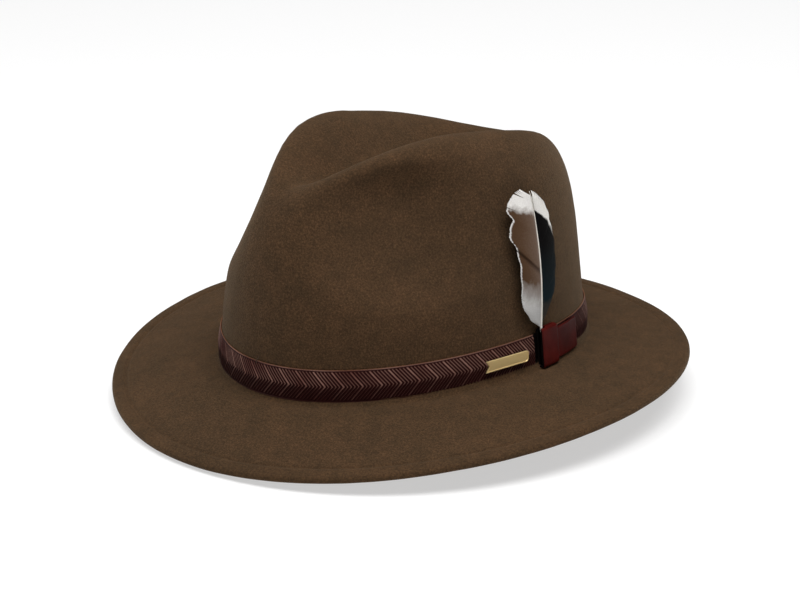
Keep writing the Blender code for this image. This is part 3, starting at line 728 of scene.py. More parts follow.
def embossed_material():
    """Oxblood leather. The UV's second number is the relief from 0 to 1, -1 on the tongue, painted black as
    shade, 2 on a cut edge. The ridges' light colour is partly rubbed leather, partly painted highlight.
    """
    leather = Shader("leather_oxblood", 0.5, gloss=0.06)
    relief = leather.part_of(leather.uv, "Y")
    worn = leather.noise(6 * MM, 3.0, 0.6)
    rubbed = leather.level(leather.noise(26 * MM, 2.0), 0.0, 1.0, 0.34, 0.60)
    ground = leather.mix(worn, (0.0095, 0.0012, 0.0010), (0.0230, 0.0028, 0.0022))
    # The ridge colour is partly rubbed leather and partly a painted highlight standing in for the gloss on
    # the ridges.
    raised = leather.mix(rubbed, (0.085, 0.022, 0.016), (0.260, 0.140, 0.110))
    face = leather.mix(leather.level(relief, 0.0, 1.0, 0.30, 0.95), ground, raised)
    face = leather.mix(leather.level(relief, 0.0, 1.0, 1.1, 1.7), face, (0.210, 0.085, 0.040))
    # Where the relief is -1, on the tongue, the colour is black: painted shade in the gap before the keeper.
    leather.color(leather.mix(leather.level(relief, 1.0, 0.0, -0.9, -0.1), face, DYE_AND_SHADE_BLACK))
    leather.roughness(leather.level(relief, 0.60, 0.44))
    leather.bump(leather.noise(0.7 * MM, 3.0), 0.05 * MM, 0.5)
    return leather.material


def chevrons(run, height):
    """Relief of the embossing from 0 in the ground to 1 on a ridge, at a place along and up the strap."""
    place = np.mod(run + CHEVRON_SLOPE * np.abs(height - STRAP_HEIGHT / 2.0), CHEVRON_PERIOD)
    relief = np.exp(-(((place - BROAD_RIDGE) / (BROAD_RIDGE_WIDTH / 2.0)) ** 6))
    for ridge in FINE_RIDGES:
        relief = np.maximum(relief, np.exp(-(((place - ridge) / (FINE_RIDGE_WIDTH / 2.0)) ** 2)))
    inside = np.minimum(height, STRAP_HEIGHT - height) - STRAP_MARGIN
    edge_groove = np.exp(-((inside / EDGE_GROOVE_WIDTH) ** 2))
    return np.where(inside > 0.0, relief, 0.85) * (1.0 - 0.9 * edge_groove)


def make_strap():
    """The embossed strap, with a thin tongue, painted black as shade, that runs up to the keeper."""
    heights, outs = rounded_section(0.0, STRAP_HEIGHT, STRAP_GAP, STRAP_GAP + STRAP_THICKNESS, 0.5 * MM, 44)
    angles = np.radians(np.linspace(STRAP_REAR_END, STRAP_FRONT_END + 360.0, 1700))
    base = break_height(angles) + STRAP_LIFT
    run = run_along(wall_point(angles, base + STRAP_HEIGHT / 2.0, outs.max()))[:, None]
    front = ease((outs - STRAP_GAP - 0.6 * MM) / (STRAP_THICKNESS - 0.6 * MM))
    relief = chevrons(run, heights)
    camber = STRAP_CAMBER * np.abs(heights / STRAP_HEIGHT * 2.0 - 1.0) ** 1.3
    sunk = front * (CHEVRON_DEPTH * (1.0 - relief) + camber)
    rings = wall_point(angles[:, None], base[:, None] + heights, outs - sunk)

    tongue = np.radians(np.array([STRAP_FRONT_END, TONGUE_END]) + 360.0)[:, None]
    thin = STRAP_GAP + (outs - STRAP_GAP) * TONGUE_THICKNESS / STRAP_THICKNESS
    rings = np.concatenate([rings, wall_point(tongue, break_height(tongue) + STRAP_LIFT + heights, thin)])
    strap = closed_sweep("band_strap", rings, embossed_material())
    # The ridges on the lower half are painted duller: partly wear, partly painted shade of the half that
    # faces down.
    worn = 0.48 + 0.52 * ease((heights - 0.38 * STRAP_HEIGHT) / (0.2 * STRAP_HEIGHT))
    cut = heights > STRAP_HEIGHT - 0.25 * MM
    # -1 marks the tongue, painted black as the shade in the gap before the keeper; 2 marks the top edge.
    marks = np.concatenate([np.where(cut, 2.0, front * relief * worn), np.full((2, len(outs)), -1.0)])
    run = np.concatenate([run, run[-1:], run[-1:]])
    give_uv(strap, np.stack([np.broadcast_to(run, marks.shape).ravel(), marks.ravel()], 1))
    return finish_piece(strap, "hatband_strap", "hat")


def make_tail(leather):
    lift = STRAP_LIFT + (STRAP_HEIGHT - TAIL_HEIGHT) / 2.0
    angles = np.radians(np.linspace(TAIL_FRONT, TAIL_REAR, 60))
    share = ((angles - angles[0]) / (angles[-1] - angles[0]))[:, None]
    heights, outs = rounded_section(0.0, TAIL_HEIGHT, TAIL_OUT - TAIL_THICKNESS, TAIL_OUT, 0.45 * MM, 24)
    settle = 0.35 * MM * ease((share - 0.6) / 0.4)
    rings = wall_point(angles[:, None], break_height(angles)[:, None] + lift + heights, outs - settle)
    return finish_piece(closed_sweep("band_tail", rings, leather), "hatband_tail", "hat")


def make_keeper(leather):
    """The closed loop: an outer and an inner rounded outline, joined at both ends."""
    angles = np.radians(np.linspace(KEEPER_FRONT, KEEPER_REAR, 26))
    edge = np.abs(np.linspace(-1.0, 1.0, len(angles)))[:, None]
    outer_h, outer_o = rounded_section(0.0, KEEPER_HEIGHT, TRIM_GAP, KEEPER_OUT, 1.4 * MM, 16)
    near, far = TRIM_GAP + KEEPER_WALL, KEEPER_OUT - KEEPER_WALL
    inner_h, inner_o = rounded_section(KEEPER_WALL, KEEPER_HEIGHT - KEEPER_WALL, near, far, 0.4 * MM, 16)
    round_off = 0.32 * MM * np.clip((edge - 0.86) / 0.14, 0.0, 1.0) ** 2
    base = break_height(angles)[:, None] + KEEPER_LIFT

    def shrunk(h, o, by):
        centre_h, centre_o = KEEPER_HEIGHT / 2.0, (TRIM_GAP + KEEPER_OUT) / 2.0
        return h - np.sign(h - centre_h) * by, o - np.sign(o - centre_o) * by

    h, o = shrunk(outer_h, outer_o, round_off)
    outer = wall_point(angles[:, None], base + h, o)
    h, o = shrunk(inner_h, inner_o, -0.5 * round_off)
    inner = wall_point(angles[:, None], base + h, o)
    size = outer.shape[1]
    points = np.concatenate([outer, inner[::-1]], 0)
    faces = grid_faces(len(points), size, close_rows=True, close_columns=True)
    keeper = mesh_object("band_keeper", points.reshape(-1, 3), faces, leather)
    for row in (len(outer) - 1, len(points) - 1):
        for face in keeper.data.polygons[row * size:(row + 1) * size]:
            face.use_smooth = False
    fix_normals(keeper)
    # Edge dye and painted shade: the end faces, the lip and the whole inner face of the loop are black, for
    # the cut ends and for the shade inside the loop and in the gap before it.
    dye_and_shade = np.ones((len(points), size))
    dye_and_shade[1:len(outer) - 1] = 0.0
    give_uv(keeper, np.stack([dye_and_shade.ravel(), dye_and_shade.ravel()], 1))
    cut_notch(keeper, leather)
    return finish_piece(keeper, "hatband_keeper", "hat")


def cut_notch(keeper, leather):
    """Opens the front of the keeper's top between its walls, where the quill goes in, and paints the cut
    faces black: edge dye on a cut, and painted shade inside the notch.
    """
    angles = np.radians(KEEPER_FRONT + np.array([-1.0, 1.0]) * NOTCH_DEGREES)[:, None]
    near = TRIM_GAP + KEEPER_WALL + NOTCH_CLEARANCE
    far = KEEPER_OUT - KEEPER_WALL - NOTCH_CLEARANCE
    heights = KEEPER_LIFT + KEEPER_HEIGHT + 3.0 * KEEPER_WALL * np.array([-1.0, -1.0, 1.0, 1.0])
    rings = wall_point(angles, break_height(angles) + heights, np.array([near, far, far, near]))
    cutter = closed_sweep("notch_cutter", rings, leather, smooth=False)
    give_uv(cutter, np.ones((rings.shape[0] * rings.shape[1], 2)))
    modifier = keeper.modifiers.new("notch", "BOOLEAN")
    modifier.object = cutter
    modifier.solver = "EXACT"
    graph = bpy.context.evaluated_depsgraph_get()
    keeper.data = bpy.data.meshes.new_from_object(keeper.evaluated_get(graph))
    keeper.modifiers.clear()
    bpy.data.objects.remove(cutter)


def badge_axes():
    """The plate's middle on its back, the way along it towards the rear, and the way out of it."""
    angle = math.radians(BADGE_ANGLE)
    height = float(break_height(angle)) + BADGE_LIFT
    place, before, after = (wall_point(angle + step, height, BADGE_OUT) for step in (0.0, -0.01, 0.01))
    ahead = unit(after - before)
    return place, ahead, np.cross(ahead, UPWARD)


def badge_outline(half, side):
    """Places along and up the plate, from its swallow-tailed front end round its two rounded rear corners."""
    straight, corner = half - BADGE_CORNER, side - BADGE_CORNER
    outline = [(-half + BADGE_NOTCH * (1.0 - abs(v)), side * v) for v in np.linspace(1.0, -1.0, 9)]
    outline += [(along, -side) for along in np.linspace(-half, straight, 14)[1:]]
    lower, upper = np.linspace(-QUARTER_TURN, 0.0, 6)[1:], np.linspace(0.0, QUARTER_TURN, 6)
    for middle, turned in ((-corner, lower), (corner, upper)):
        arc = BADGE_CORNER * np.stack([np.cos(turned), np.sin(turned)], 1) + (straight, middle)
        outline += [tuple(place) for place in arc]
    outline += [(along, side) for along in np.linspace(straight, -half, 14)[1:-1]]
    return np.array(outline)


def make_badge():
    """A blank brass plate with a raised rim, swallow-tailed in front and rounded behind."""
    brass = Shader("brass", 0.42, metallic=1.0)
    streaks = brass.noise(0.5 * MM, 4.0, 0.7, brass.stretch((1.0, 0.12, 6.0)))
    brass.color(brass.mix(streaks, (0.88, 0.64, 0.28), (1.0, 0.82, 0.44)))
    brass.roughness(brass.level(streaks, 0.38, 0.52))
    brass.bump(streaks, 0.02 * MM, 0.5)

    place, ahead, outward = badge_axes()
    half, side = BADGE_LENGTH / 2.0, BADGE_HEIGHT / 2.0
    levels = (
        (0.12 * MM, 0.0),
        (0.0, 0.12 * MM),
        (0.0, BADGE_THICKNESS - 0.2 * MM),
        (0.2 * MM, BADGE_THICKNESS),
        (BADGE_RIM, BADGE_THICKNESS),
        (BADGE_RIM + 0.15 * MM, BADGE_THICKNESS - BADGE_SUNK),
    )
    rings = []
    for inset, level in levels:
        flat = badge_outline(half, side) * (1.0 - inset / np.array([half, side]))
        rings.append([place + ahead * a + UPWARD * b + outward * level for a, b in flat])
    plate = closed_sweep("badge", np.array(rings), brass.material, smooth=False)
    pieces = [plate]
    for offset in (-PRONG_SPACING / 2.0, PRONG_SPACING / 2.0):
        foot = place + ahead * offset
        line = [foot - outward * (BADGE_OUT - STRAP_GAP - STRAP_THICKNESS), foot + outward * 0.1 * MM]
        pieces.append(round_tube("prong", line, PRONG_RADIUS, 12, brass.material))
    return finish_piece(merge("badge", pieces), "badge_plate", "hat")


def make_tacks(thread):
    """Small loops of thread over the band's upper edge. A path is distance out and height above that edge."""
    edge_out = STRAP_GAP + STRAP_THICKNESS
    path = (
        (STITCH_RADIUS + 0.15 * MM, 1.6 * MM),
        (0.9 * MM, 0.75 * MM),
        (edge_out + 0.3 * MM, 0.35 * MM),
        (edge_out + 0.35 * MM, -1.4 * MM),
    )
    for name, degrees in (("front", 2.0), ("right", 262.0), ("rear", 178.0)):
        angle = math.radians(degrees)
        top = float(break_height(angle)) + STRAP_LIFT + STRAP_HEIGHT + STITCH_RADIUS + TRIM_GAP
        corners = np.array([wall_point(angle, top + rise, out) for out, rise in path])
        steps = np.linspace(0.0, len(path) - 1.0, 13)
        line = np.stack([np.interp(steps, range(len(path)), corners[:, axis]) for axis in range(3)], 1)
        loop = round_tube(f"tack_{name}", line, STITCH_RADIUS, 8, thread)
        finish_piece(loop, f"band_tack_{name}", "hat")


# ---------------------------------------------------------------- feather

# A barb's rise, its bulge outwards and the steps between neighbours are in mm, its start in degrees.
BARB_COUNT = 240
BARB_STEPS = 12
BARB_WIDTH = 0.31 * MM
BARB_THICKNESS = 0.055 * MM
BARB_LEAST_RISE, BARB_MOST_RISE = 1.2, 15.5
BARB_START = 0.2333
BARB_CUPPING = 0.55
BARB_STEP_OUT = 0.04
SPLIT_REACH, SPLIT_LOWER_REACH = 0.035, 0.06


def quill_at(z):
    """The quill's angle in degrees and its distance out in mm, at a height in mm."""
    angles, heights, outs = zip(*QUILL_PATH)
    return np.interp(z, heights, angles), np.interp(z, heights, outs)


def feather_material(name, paint):
    """Barbs coloured by place: the UV holds the share along the barb and the height in tenths of a metre."""
    barbs = Shader(name, 0.6, gloss=0.03)
    share = barbs.part_of(barbs.uv, "X")
    height = barbs.part_of(barbs.uv, "Y")
    cloud = barbs.noise(5 * MM, 3.0, 0.6)
    fine = barbs.noise(0.45 * MM, 2.0, 0.6)
    barbs.color(paint(barbs, share, height, cloud, fine))
    barbs.roughness(barbs.level(fine, 0.45, 0.65))
    return barbs.material


def paint_left(barbs, share, height, cloud, fine):
    """White ends and a grey-brown middle, paler by the quill, with a thin pale edge and one dark line of
    painted shade along a fold.
    """
    slanted = barbs.math("SUBTRACT", height, barbs.math("MULTIPLY", share, 0.065))
    shifted = barbs.math("ADD", slanted, barbs.level(cloud, -0.014, 0.014, 0.3, 0.7))
    middle = barbs.ramp(shifted, (
        (0.37, (0.0, 0.0, 0.0)), (0.43, (0.55, 0.55, 0.55)), (0.50, (1.0, 1.0, 1.0)),
        (0.850, (1.0, 1.0, 1.0)), (0.890, (0.0, 0.0, 0.0)),
    ))
    margin = barbs.ramp(share, (
        (0.0, (0.92, 0.92, 0.92)), (0.10, (1.0, 1.0, 1.0)),
        (0.945, (1.0, 1.0, 1.0)), (0.98, (0.15, 0.15, 0.15)),
    ))
    tone = barbs.math("ADD", barbs.math("MULTIPLY", share, 0.75), barbs.level(fine, -0.2, 0.2, 0.25, 0.75))
    brown = barbs.ramp(tone, (
        (0.05, (0.135, 0.088, 0.064)), (0.50, (0.078, 0.043, 0.024)), (1.0, (0.058, 0.029, 0.015)),
    ))
    # Painted shade: the brown is darkened along a line where the lower barbs tuck under a fold.
    root = barbs.math("SUBTRACT", height, barbs.math("MULTIPLY", barbs.math("POWER", share, 1.25), 0.145))
    painted_crease_shade = barbs.ramp(root, (
        (0.545, (1.0, 1.0, 1.0)), (0.568, (0.45, 0.42, 0.40)),
        (0.578, (0.40, 0.36, 0.34)), (0.590, (1.0, 1.0, 1.0)),
    ))
    brown = barbs.mix(1.0, brown, painted_crease_shade, "MULTIPLY")
    shade = barbs.ramp(height, ((0.36, (0.60, 0.61, 0.62)), (0.60, (1.0, 1.0, 1.0))))
    white = barbs.mix(barbs.level(fine, 0.0, 1.0, 0.25, 0.75), (0.66, 0.63, 0.60), (0.86, 0.845, 0.82))
    white = barbs.mix(1.0, white, shade, "MULTIPLY")
    return barbs.mix(barbs.math("MULTIPLY", middle, margin), white, brown)


def paint_right(barbs, share, height, cloud, fine):
    """A black-teal patch beside the quill, with a white tip and upper edge, that fades out below."""
    down = barbs.math("MAXIMUM", barbs.math("SUBTRACT", 0.885, height), 0.0)
    fall = barbs.math("POWER", 0.24, barbs.math("MULTIPLY", down, 10.0))
    bound = barbs.math("SUBTRACT", 1.18, barbs.math("MULTIPLY", fall, 1.15))
    edge = barbs.math("ADD", barbs.math("SUBTRACT", bound, share), barbs.level(cloud, -0.05, 0.05, 0.3, 0.7))
    patch = barbs.level(edge, 0.0, 1.0, -0.05, 0.07)
    black_share = barbs.level(height, 1.0, 0.0, 0.42, 0.70)
    teal = barbs.mix(black_share, (0.0040, 0.0032, 0.0032), (0.0055, 0.0125, 0.0155))
    foot = barbs.level(barbs.math("ADD", height, barbs.level(cloud, -0.06, 0.06)), 0.75, 0.0, 0.33, 0.42)
    smoke = barbs.mix(foot, teal, (0.055, 0.040, 0.028))
    dark = barbs.mix(barbs.level(fine, 0.0, 0.22, 0.5, 0.9), smoke, (0.010, 0.018, 0.022))
    white = barbs.mix(barbs.level(fine, 0.0, 1.0, 0.25, 0.75), (0.68, 0.66, 0.62), (0.90, 0.885, 0.86))
    return barbs.mix(patch, white, dark)


def barb_rise(up):
    """How much higher a barb ends than it starts, in mm, at a share up the vane: most below the middle."""
    swell = np.sin(np.clip(up * 1.12, 0.0, 1.0) * math.pi * 0.86) ** 0.8
    return BARB_LEAST_RISE + BARB_MOST_RISE * swell * (1.0 - 0.45 * up)


def split_barbs(up, splits):
    """How far the barbs beside each split part up and down, and how far those below it lie closer, in mm."""
    opening, lower = np.zeros_like(up), np.zeros_like(up)
    for share, width in splits:
        away = up - share
        opening += width * np.sign(away) * np.exp(-np.abs(away) / SPLIT_REACH)
        lower += np.where(away < 0.0, np.exp(-np.abs(away) / SPLIT_LOWER_REACH), 0.0) * width
    return opening, lower


def barb_rings(line, along):
    """The diamond-shaped sections of one barb along its line, narrower towards the tip."""
    ahead = unit(np.gradient(line, axis=0))
    outward = unit(line - UPWARD * line[:, 2:])
    across = unit(np.cross(ahead, outward))
    narrowing = (1.0 - 0.35 * along**6)[:, None]
    wide = across * BARB_WIDTH * narrowing
    thick = np.cross(across, ahead) * BARB_THICKNESS * narrowing
    return np.stack([line + wide, line + thick, line - wide, line - thick], 1)


def make_vane(name, node, rows, direction, lowest, highest, splits, paint, slot, seed):
    """Separate barbs from the quill to the vane's outline. A split is a share up the vane and mm wide."""
    random = np.random.default_rng(seed)
    heights, edges, outs = (np.array([row[k] for row in rows]) for k in range(3))
    up = np.linspace(0.0, 1.0, BARB_COUNT)
    root_z = lowest + (highest - lowest) * up
    tip_z = np.maximum.accumulate(np.clip(root_z + barb_rise(up), heights[0], heights[-1]))
    opening, lower = split_barbs(up, splits)
    ragged = random.normal(0.0, 0.007, BARB_COUNT)
    clumps = 0.035 * np.sin(up * 37.0 + seed) * np.sin(up * 11.0 + 2.0 * seed)
    along = np.linspace(0.0, 1.0, BARB_STEPS)
    points, places = [], []
    for k in range(BARB_COUNT):
        edge = np.interp(tip_z[k], heights, edges)
        edge_out = np.interp(tip_z[k], heights, outs)
        z = root_z[k] + (tip_z[k] - root_z[k]) * along**1.25 + opening[k] * along**1.5
        root_angle, root_out = quill_at(z)
        reach = along * (1.0 + ragged[k] + clumps[k] - 0.02)
        start = BARB_START * direction
        angle = root_angle + start + (edge - root_angle - start) * reach
        out = root_out + (edge_out - root_out) * along + BARB_CUPPING * np.sin(math.pi * along)
        out = out + (BARB_STEP_OUT * math.sin(k * 2.1) - lower[k]) * along
        points.append(barb_rings(wall_point(np.radians(angle), z * MM, out * MM), along))
        places.append(np.repeat(np.stack([along, z / 100.0], 1), 4, axis=0))
    faces = []
    barb_faces = grid_faces(BARB_STEPS, 4, close_columns=True)
    for k in range(BARB_COUNT):
        start = k * BARB_STEPS * 4
        faces += [tuple(start + i for i in face) for face in barb_faces]
        faces.append(tuple(start + j for j in range(4)))
        faces.append(tuple(start + (BARB_STEPS - 1) * 4 + j for j in reversed(range(4))))
    material = feather_material(slot, paint)
    vane = mesh_object(name, np.array(points).reshape(-1, 3), faces, material, smooth=False)
    fix_normals(vane)
    give_uv(vane, np.concatenate(places))
    return finish_piece(vane, node, "feather")


def make_feather():
    horn = Shader("feather_quill", 0.38)
    pale = horn.ramp(horn.noise(4 * MM), ((0.3, (0.66, 0.62, 0.55)), (0.7, (0.80, 0.77, 0.71))))
    # The quill is near-black below a set height, the part that runs inside the keeper.
    dark_below = horn.level(horn.part_of(horn.place, "Z"), 1.0, 0.0, QUILL_DARK_TOP - 1.0 * MM, QUILL_DARK_TOP)
    horn.color(horn.mix(dark_below, pale, (0.006, 0.004, 0.003)))
    z = np.linspace(QUILL_PATH[0][1], QUILL_PATH[-1][1] + 2.0, 60)
    angle, out = quill_at(z)
    share = (z - z[0]) / (z[-1] - z[0])
    radii = QUILL_BASE_RADIUS + (QUILL_TIP_RADIUS - QUILL_BASE_RADIUS) * share
    line = wall_point(np.radians(angle), z * MM, out * MM)
    quill = round_tube("quill", line, radii, 12, horn.material)
    finish_piece(quill, "feather_quill", "feather")
    make_vane("vane_front", "feather_front_vane", LEFT_VANE, -1.0, 27.5, 96.0,
              ((0.44, 0.45), (0.86, 0.3), (0.965, 0.3)), paint_left, "feather_grey_brown", 3)
    make_vane("vane_rear", "feather_rear_vane", RIGHT_VANE, 1.0, 30.0, 95.0,
              ((0.22, 0.45), (0.62, 0.3)), paint_right, "feather_dark_teal", 5)


# ---------------------------------------------------------------- inside the hat


def fabric_material(name, dark, light, roughness, rib):
    """Ribbed or woven cloth, with level ribs of the given size."""
    cloth = Shader(name, roughness, sheen=0.2, sheen_tint=light, gloss=0.15)
    weave = cloth.ribs(rib)
    cloth.color(cloth.mix(weave, dark, light))
    cloth.bump(weave, 0.12 * MM, 0.6)
    return cloth.material


def satin_material():
    satin = Shader("satin_brown", 0.34, sheen=0.35, sheen_tint=(0.9, 0.75, 0.6))
    slubs = satin.noise(1.2 * MM, 3.0, 0.6, satin.stretch((1.0, 1.0, 0.15)))
    satin.color(satin.mix(slubs, (0.055, 0.031, 0.018), (0.100, 0.062, 0.038)))
    satin.roughness(satin.level(slubs, 0.28, 0.42))
    satin.bump(slubs, 0.05 * MM, 0.4)
    return satin.material


def make_sweatband():
    leather = leather_material("leather_tan", (0.115, 0.052, 0.024), (0.175, 0.085, 0.040), 0.48, 0.9 * MM)
    angles = np.radians(np.linspace(180.0 + SWEATBAND_SPLIT, 540.0 - SWEATBAND_SPLIT, 400))
    near, far = -SWEATBAND_IN - SWEATBAND_THICKNESS, -SWEATBAND_IN
    section = rounded_section(SWEATBAND_BOTTOM, SWEATBAND_TOP, near, far, 0.35 * MM, 12)
    band = wrap("sweatband_leather", angles, section, leather)
    finish_piece(band, "sweatband", "hat")

    plastic = Shader("reed_plastic", 0.35)
    plastic.color(plastic.mix(plastic.noise(8 * MM), (0.50, 0.49, 0.45), (0.62, 0.60, 0.56)))
    line = wall_point(turn(300), REED_HEIGHT, -REED_IN)
    reed = round_tube("reed", line, REED_RADIUS, 10, plastic.material, closed=True)
    finish_piece(reed, "sweatband_reed", "hat")


def make_tape(ribbon):
    """The flat ribbed tape under the sweatband's lower edge."""
    section = rounded_section(0.0, TAPE_THICKNESS, -TAPE_INNER_IN, -TAPE_OUTER_IN, 0.45 * TAPE_THICKNESS)
    rings = wall_point(turn(720)[:, None], *section)
    finish_piece(closed_ring("tape", rings, ribbon), "reed_tape", "hat")


def make_stitching(thread):
    inwards = SWEATBAND_IN + SWEATBAND_THICKNESS + STITCH_GAP + STITCH_RADIUS
    line = wall_point(turn(600), SWEATBAND_STITCH_HEIGHT, -inwards)
    seam = stitches("band_stitches", line, 3.0 * MM, 2.3 * MM, STITCH_RADIUS, thread)
    finish_piece(seam, "sweatband_stitching", "hat")

    inset = 1.0 - (WELT_WIDTH - WELT_STITCH_INSET) / (BRIM_HALF_WIDTH - HEAD_HALF_WIDTH)
    line = brim_point(turn(900), inset)
    line[:, 2] -= WELT_THICKNESS + WELT_STITCH_GAP + STITCH_RADIUS
    seam = stitches("welt_stitches", line, 3.4 * MM, 2.6 * MM, STITCH_RADIUS, thread)
    finish_piece(seam, "welt_thread", "hat")


def make_patch(name, node, degrees, width, low, high, inwards, material):
    half = width / 2.0 / HEAD_HALF_WIDTH
    angles = math.radians(degrees) + np.linspace(-half, half, 13)
    section = rounded_section(low, high, -inwards - TRIM_THICKNESS, -inwards, 0.2 * MM, 10)
    return finish_piece(wrap(name, angles, section, material), node, "hat")


def bow_wing(side, place, ribbon):
    """One looped wing of ribbon, narrow at the knot and wide at its end."""
    turned = np.linspace(0.0, 2.0 * math.pi, 41)
    along = BOW_WIDTH / 4.0 * (1.0 - np.cos(turned))
    opening = np.sqrt(along / BOW_WIDTH * 2.0)
    depth = BOW_LOOP_DEPTH * np.sin(turned) * opening
    rise = UPWARD * (BOW_HEIGHT / 2.0 * (0.35 + 0.65 * opening))[:, None]
    line = np.stack([side * along + place[0], place[1] + depth, np.full_like(along, place[2])], 1)
    ahead = np.gradient(line, axis=0)
    length = np.linalg.norm(ahead, axis=-1, keepdims=True) + 1e-12
    out = np.cross(ahead / length, UPWARD) * BOW_HALF_THICKNESS
    rings = np.stack([line - rise + out, line + rise + out, line + rise - out, line - rise - out], 1)
    return closed_sweep("wing", rings[1:-1], ribbon, smooth=False)


def make_bow(ribbon, inwards):
    """A flat bow: two looped wings of ribbon and a wrapped knot."""
    place = wall_point(math.pi, BOW_CENTRE_HEIGHT, -inwards - 1.6 * MM)
    wings = [bow_wing(side, place, ribbon) for side in (-1.0, 1.0)]
    turned = turn(24)
    ring = np.stack([1.7 * MM * np.cos(turned), 1.15 * MM * np.sin(turned), np.zeros_like(turned)], 1)
    levels = ((-2.3 * MM, 0.8), (-2.0 * MM, 1.0), (2.0 * MM, 1.0), (2.3 * MM, 0.8))
    rings = np.array([place + ring * size + UPWARD * level for level, size in levels])
    knot = closed_sweep("knot", rings, ribbon)
    return finish_piece(merge("bow", [*wings, knot]), "sweatband_bow", "hat")


def lining_sheet(columns, angles, gather):
    """Outer and inner faces of the lining at these values of t, gather being the wrinkles' strength."""
    outer, inner = [], []
    for index, t in enumerate(columns):
        share = index / (len(columns) - 1.0)
        folds = gather(share) * (np.sin(angles * 61.0) * 0.6 + np.sin(angles * 37.0 + 1.0) * 0.4)
        depth = LINING_IN + (WRINKLE_DEPTH * (gather(share) + np.clip(folds, -1.0, 1.0)))[:, None]
        outer.append(crown_offset(angles, t, depth))
        inner.append(crown_offset(angles, t, depth + LINING_THICKNESS))
    return np.stack(outer, 1), np.stack(inner, 1)


def crown_columns(first, last, count):
    """Values of t from first to last, evenly spread over the face rather than over t."""
    dense = np.linspace(first, last, 400)
    line = crown_point(math.radians(60.0), dense)
    run = run_along(line)
    return np.interp(np.linspace(0.0, run[-1], count), run, dense)


def make_lining(satin):
    """Satin side wall and tip, gathered a little where they meet, with a corded seam."""
    angles = turn(360)
    start = t_at_height(angles, LINING_BOTTOM)
    last = LINING_SEAM - LINING_SEAM_GAP
    columns = [start + (last - start) * t for t in np.linspace(0.0, 1.0, 30) ** 1.8]
    outer, inner = lining_sheet(columns, angles, lambda share: ease((share - 0.35) / 0.65))
    loop = np.concatenate([outer, inner[:, ::-1]], 1)
    wall = closed_ring("lining_side", loop, satin)
    finish_piece(wall, "lining_wall", "hat")

    columns = crown_columns(LINING_SEAM + LINING_SEAM_GAP, LINING_END, 40)
    outer, inner = lining_sheet(columns, angles, lambda share: 1.0 - ease(share / 0.4))
    loop = np.concatenate([inner[:, ::-1], outer], 1)
    rows, count = loop.shape[:2]
    faces = grid_faces(rows, count, close_rows=True)
    faces.append(tuple(i * count for i in range(rows)))
    faces.append(tuple(i * count + count - 1 for i in reversed(range(rows))))
    tip = mesh_object("lining_top", loop.reshape(-1, 3), faces, satin)
    fix_normals(tip)
    finish_piece(tip, "lining_tip", "hat")

    line = crown_offset(turn(500), LINING_SEAM, PIPING_IN)
    twist = 1.0 + 0.10 * np.sin(np.arange(500) * 2.0 * math.pi / 5.0)
    piping = round_tube("piping", line, PIPING_RADIUS * twist, 10, satin, closed=True)
    finish_piece(piping, "lining_piping", "hat")


# ---------------------------------------------------------------- camera, light and floor

CAMERA_AZIMUTH = 45.5
CAMERA_ELEVATION = 19.0
CAMERA_DISTANCE = 1.6
CAMERA_LENS = 134.3
CAMERA_AIM_RIGHT = -3.0 * MM
CAMERA_AIM_HEIGHT = 26.8 * MM

# Soft round lamps: name, place, size and power.
LAMPS = (
    ("right", (0.82, 0.23, 1.87), 1.1, 19.0),
    ("left", (-0.21, -0.82, 1.87), 1.1, 9.5),
    ("front", (0.55, -0.54, 1.92), 1.1, 22.0),
    ("back", (-0.60, 0.60, 1.87), 1.1, 7.0),
    ("rim", (-1.6, -0.75, 0.75), 0.8, 2.5),
)
WORLD_STRENGTH = 0.12
PAPER_GLOW = 0.55
FLOOR_REACH = 6.0
FLOOR_GAP = 0.5 * MM


def make_camera():
    azimuth, elevation = math.radians(CAMERA_AZIMUTH), math.radians(CAMERA_ELEVATION)
    right = Vector((math.cos(azimuth), math.sin(azimuth), 0.0))
    level = Vector((math.sin(azimuth), -math.cos(azimuth), 0.0))
    back = level * math.cos(elevation) + Vector((0.0, 0.0, math.sin(elevation)))
    aim = right * CAMERA_AIM_RIGHT + Vector((0.0, 0.0, CAMERA_AIM_HEIGHT))
    data = bpy.data.cameras.new("camera")
    data.lens = CAMERA_LENS
    data.sensor_width = 36.0
    data.clip_start = 0.05
    camera = bpy.data.objects.new("camera", data)
    camera.location = aim + back * CAMERA_DISTANCE
    camera.rotation_euler = back.to_track_quat("Z", "Y").to_euler()
    bpy.context.scene.collection.objects.link(camera)
    bpy.context.scene.camera = camera


def make_lamp(name, place, size, power):
    data = bpy.data.lights.new(name, "AREA")
    data.shape = "DISK"
    data.size = size
    data.energy = power
    light = bpy.data.objects.new(name, data)
    light.location = place
    light.rotation_euler = Vector(place).to_track_quat("Z", "Y").to_euler()
    bpy.context.scene.collection.objects.link(light)


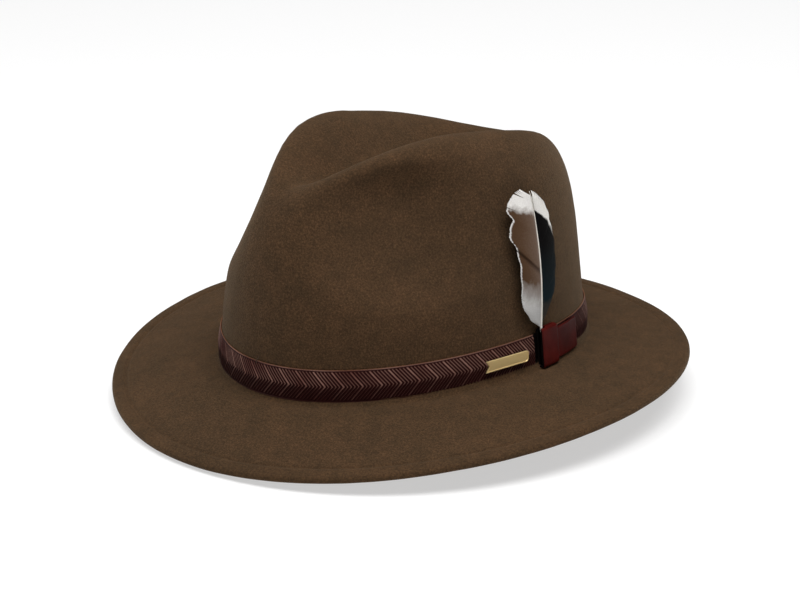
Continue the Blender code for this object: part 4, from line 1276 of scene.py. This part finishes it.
def make_stage():
    world = bpy.data.worlds.new("studio")
    world.use_nodes = True
    world.node_tree.nodes["Background"].inputs["Color"].default_value = (1.0, 1.0, 1.0, 1.0)
    world.node_tree.nodes["Background"].inputs["Strength"].default_value = WORLD_STRENGTH
    bpy.context.scene.world = world
    bpy.context.scene.view_settings.view_transform = "Standard"
    for lamp in LAMPS:
        make_lamp(*lamp)

    paper = Shader("paper", 0.9)
    paper.set(paper.shader, "Emission Color", (1.0, 1.0, 1.0))
    paper.set(paper.shader, "Emission Strength", PAPER_GLOW)
    paper.color(paper.ramp(paper.noise(0.4), ((0.0, (0.44, 0.44, 0.44)), (1.0, (0.46, 0.46, 0.46)))))
    level = felt_low[2] - FLOOR_GAP
    corners = [(x * FLOOR_REACH, y * FLOOR_REACH, level) for x, y in ((-1, -1), (1, -1), (1, 1), (-1, 1))]
    floor = mesh_object("floor", corners, [(0, 1, 2, 3)], paper.material, smooth=False)


def build():
    felt = make_felt(felt_material())
    plain = leather_material(
        "leather_plain", (0.038, 0.0026, 0.0018), (0.072, 0.0048, 0.0032), 0.44, 0.8 * MM
    )
    thread = fabric_material("thread_brown", (0.040, 0.024, 0.015), (0.075, 0.045, 0.028), 0.8, 0.3 * MM)
    ribbon = fabric_material("ribbon_brown", (0.026, 0.015, 0.009), (0.050, 0.030, 0.018), 0.7, 0.8 * MM)
    label = fabric_material("label_cloth", (0.60, 0.56, 0.47), (0.72, 0.68, 0.58), 0.85, 0.35 * MM)
    make_strap()
    make_tail(plain)
    make_keeper(plain)
    make_badge()
    make_tacks(thread)
    make_feather()
    make_sweatband()
    make_tape(ribbon)
    make_stitching(thread)
    face = SWEATBAND_IN + SWEATBAND_THICKNESS + TRIM_GAP
    make_patch(
        "back_tab", "sweatband_back_tab", 180.0, BACK_TAB_WIDTH, BACK_TAB_BOTTOM, BACK_TAB_TOP, face,
        ribbon,
    )
    make_patch(
        "label", "size_label", LABEL_ANGLE, LABEL_WIDTH, LABEL_BOTTOM, LABEL_TOP, face, label
    )
    make_bow(ribbon, face + TRIM_THICKNESS)
    make_lining(satin_material())


make_camera()
make_stage()
build()
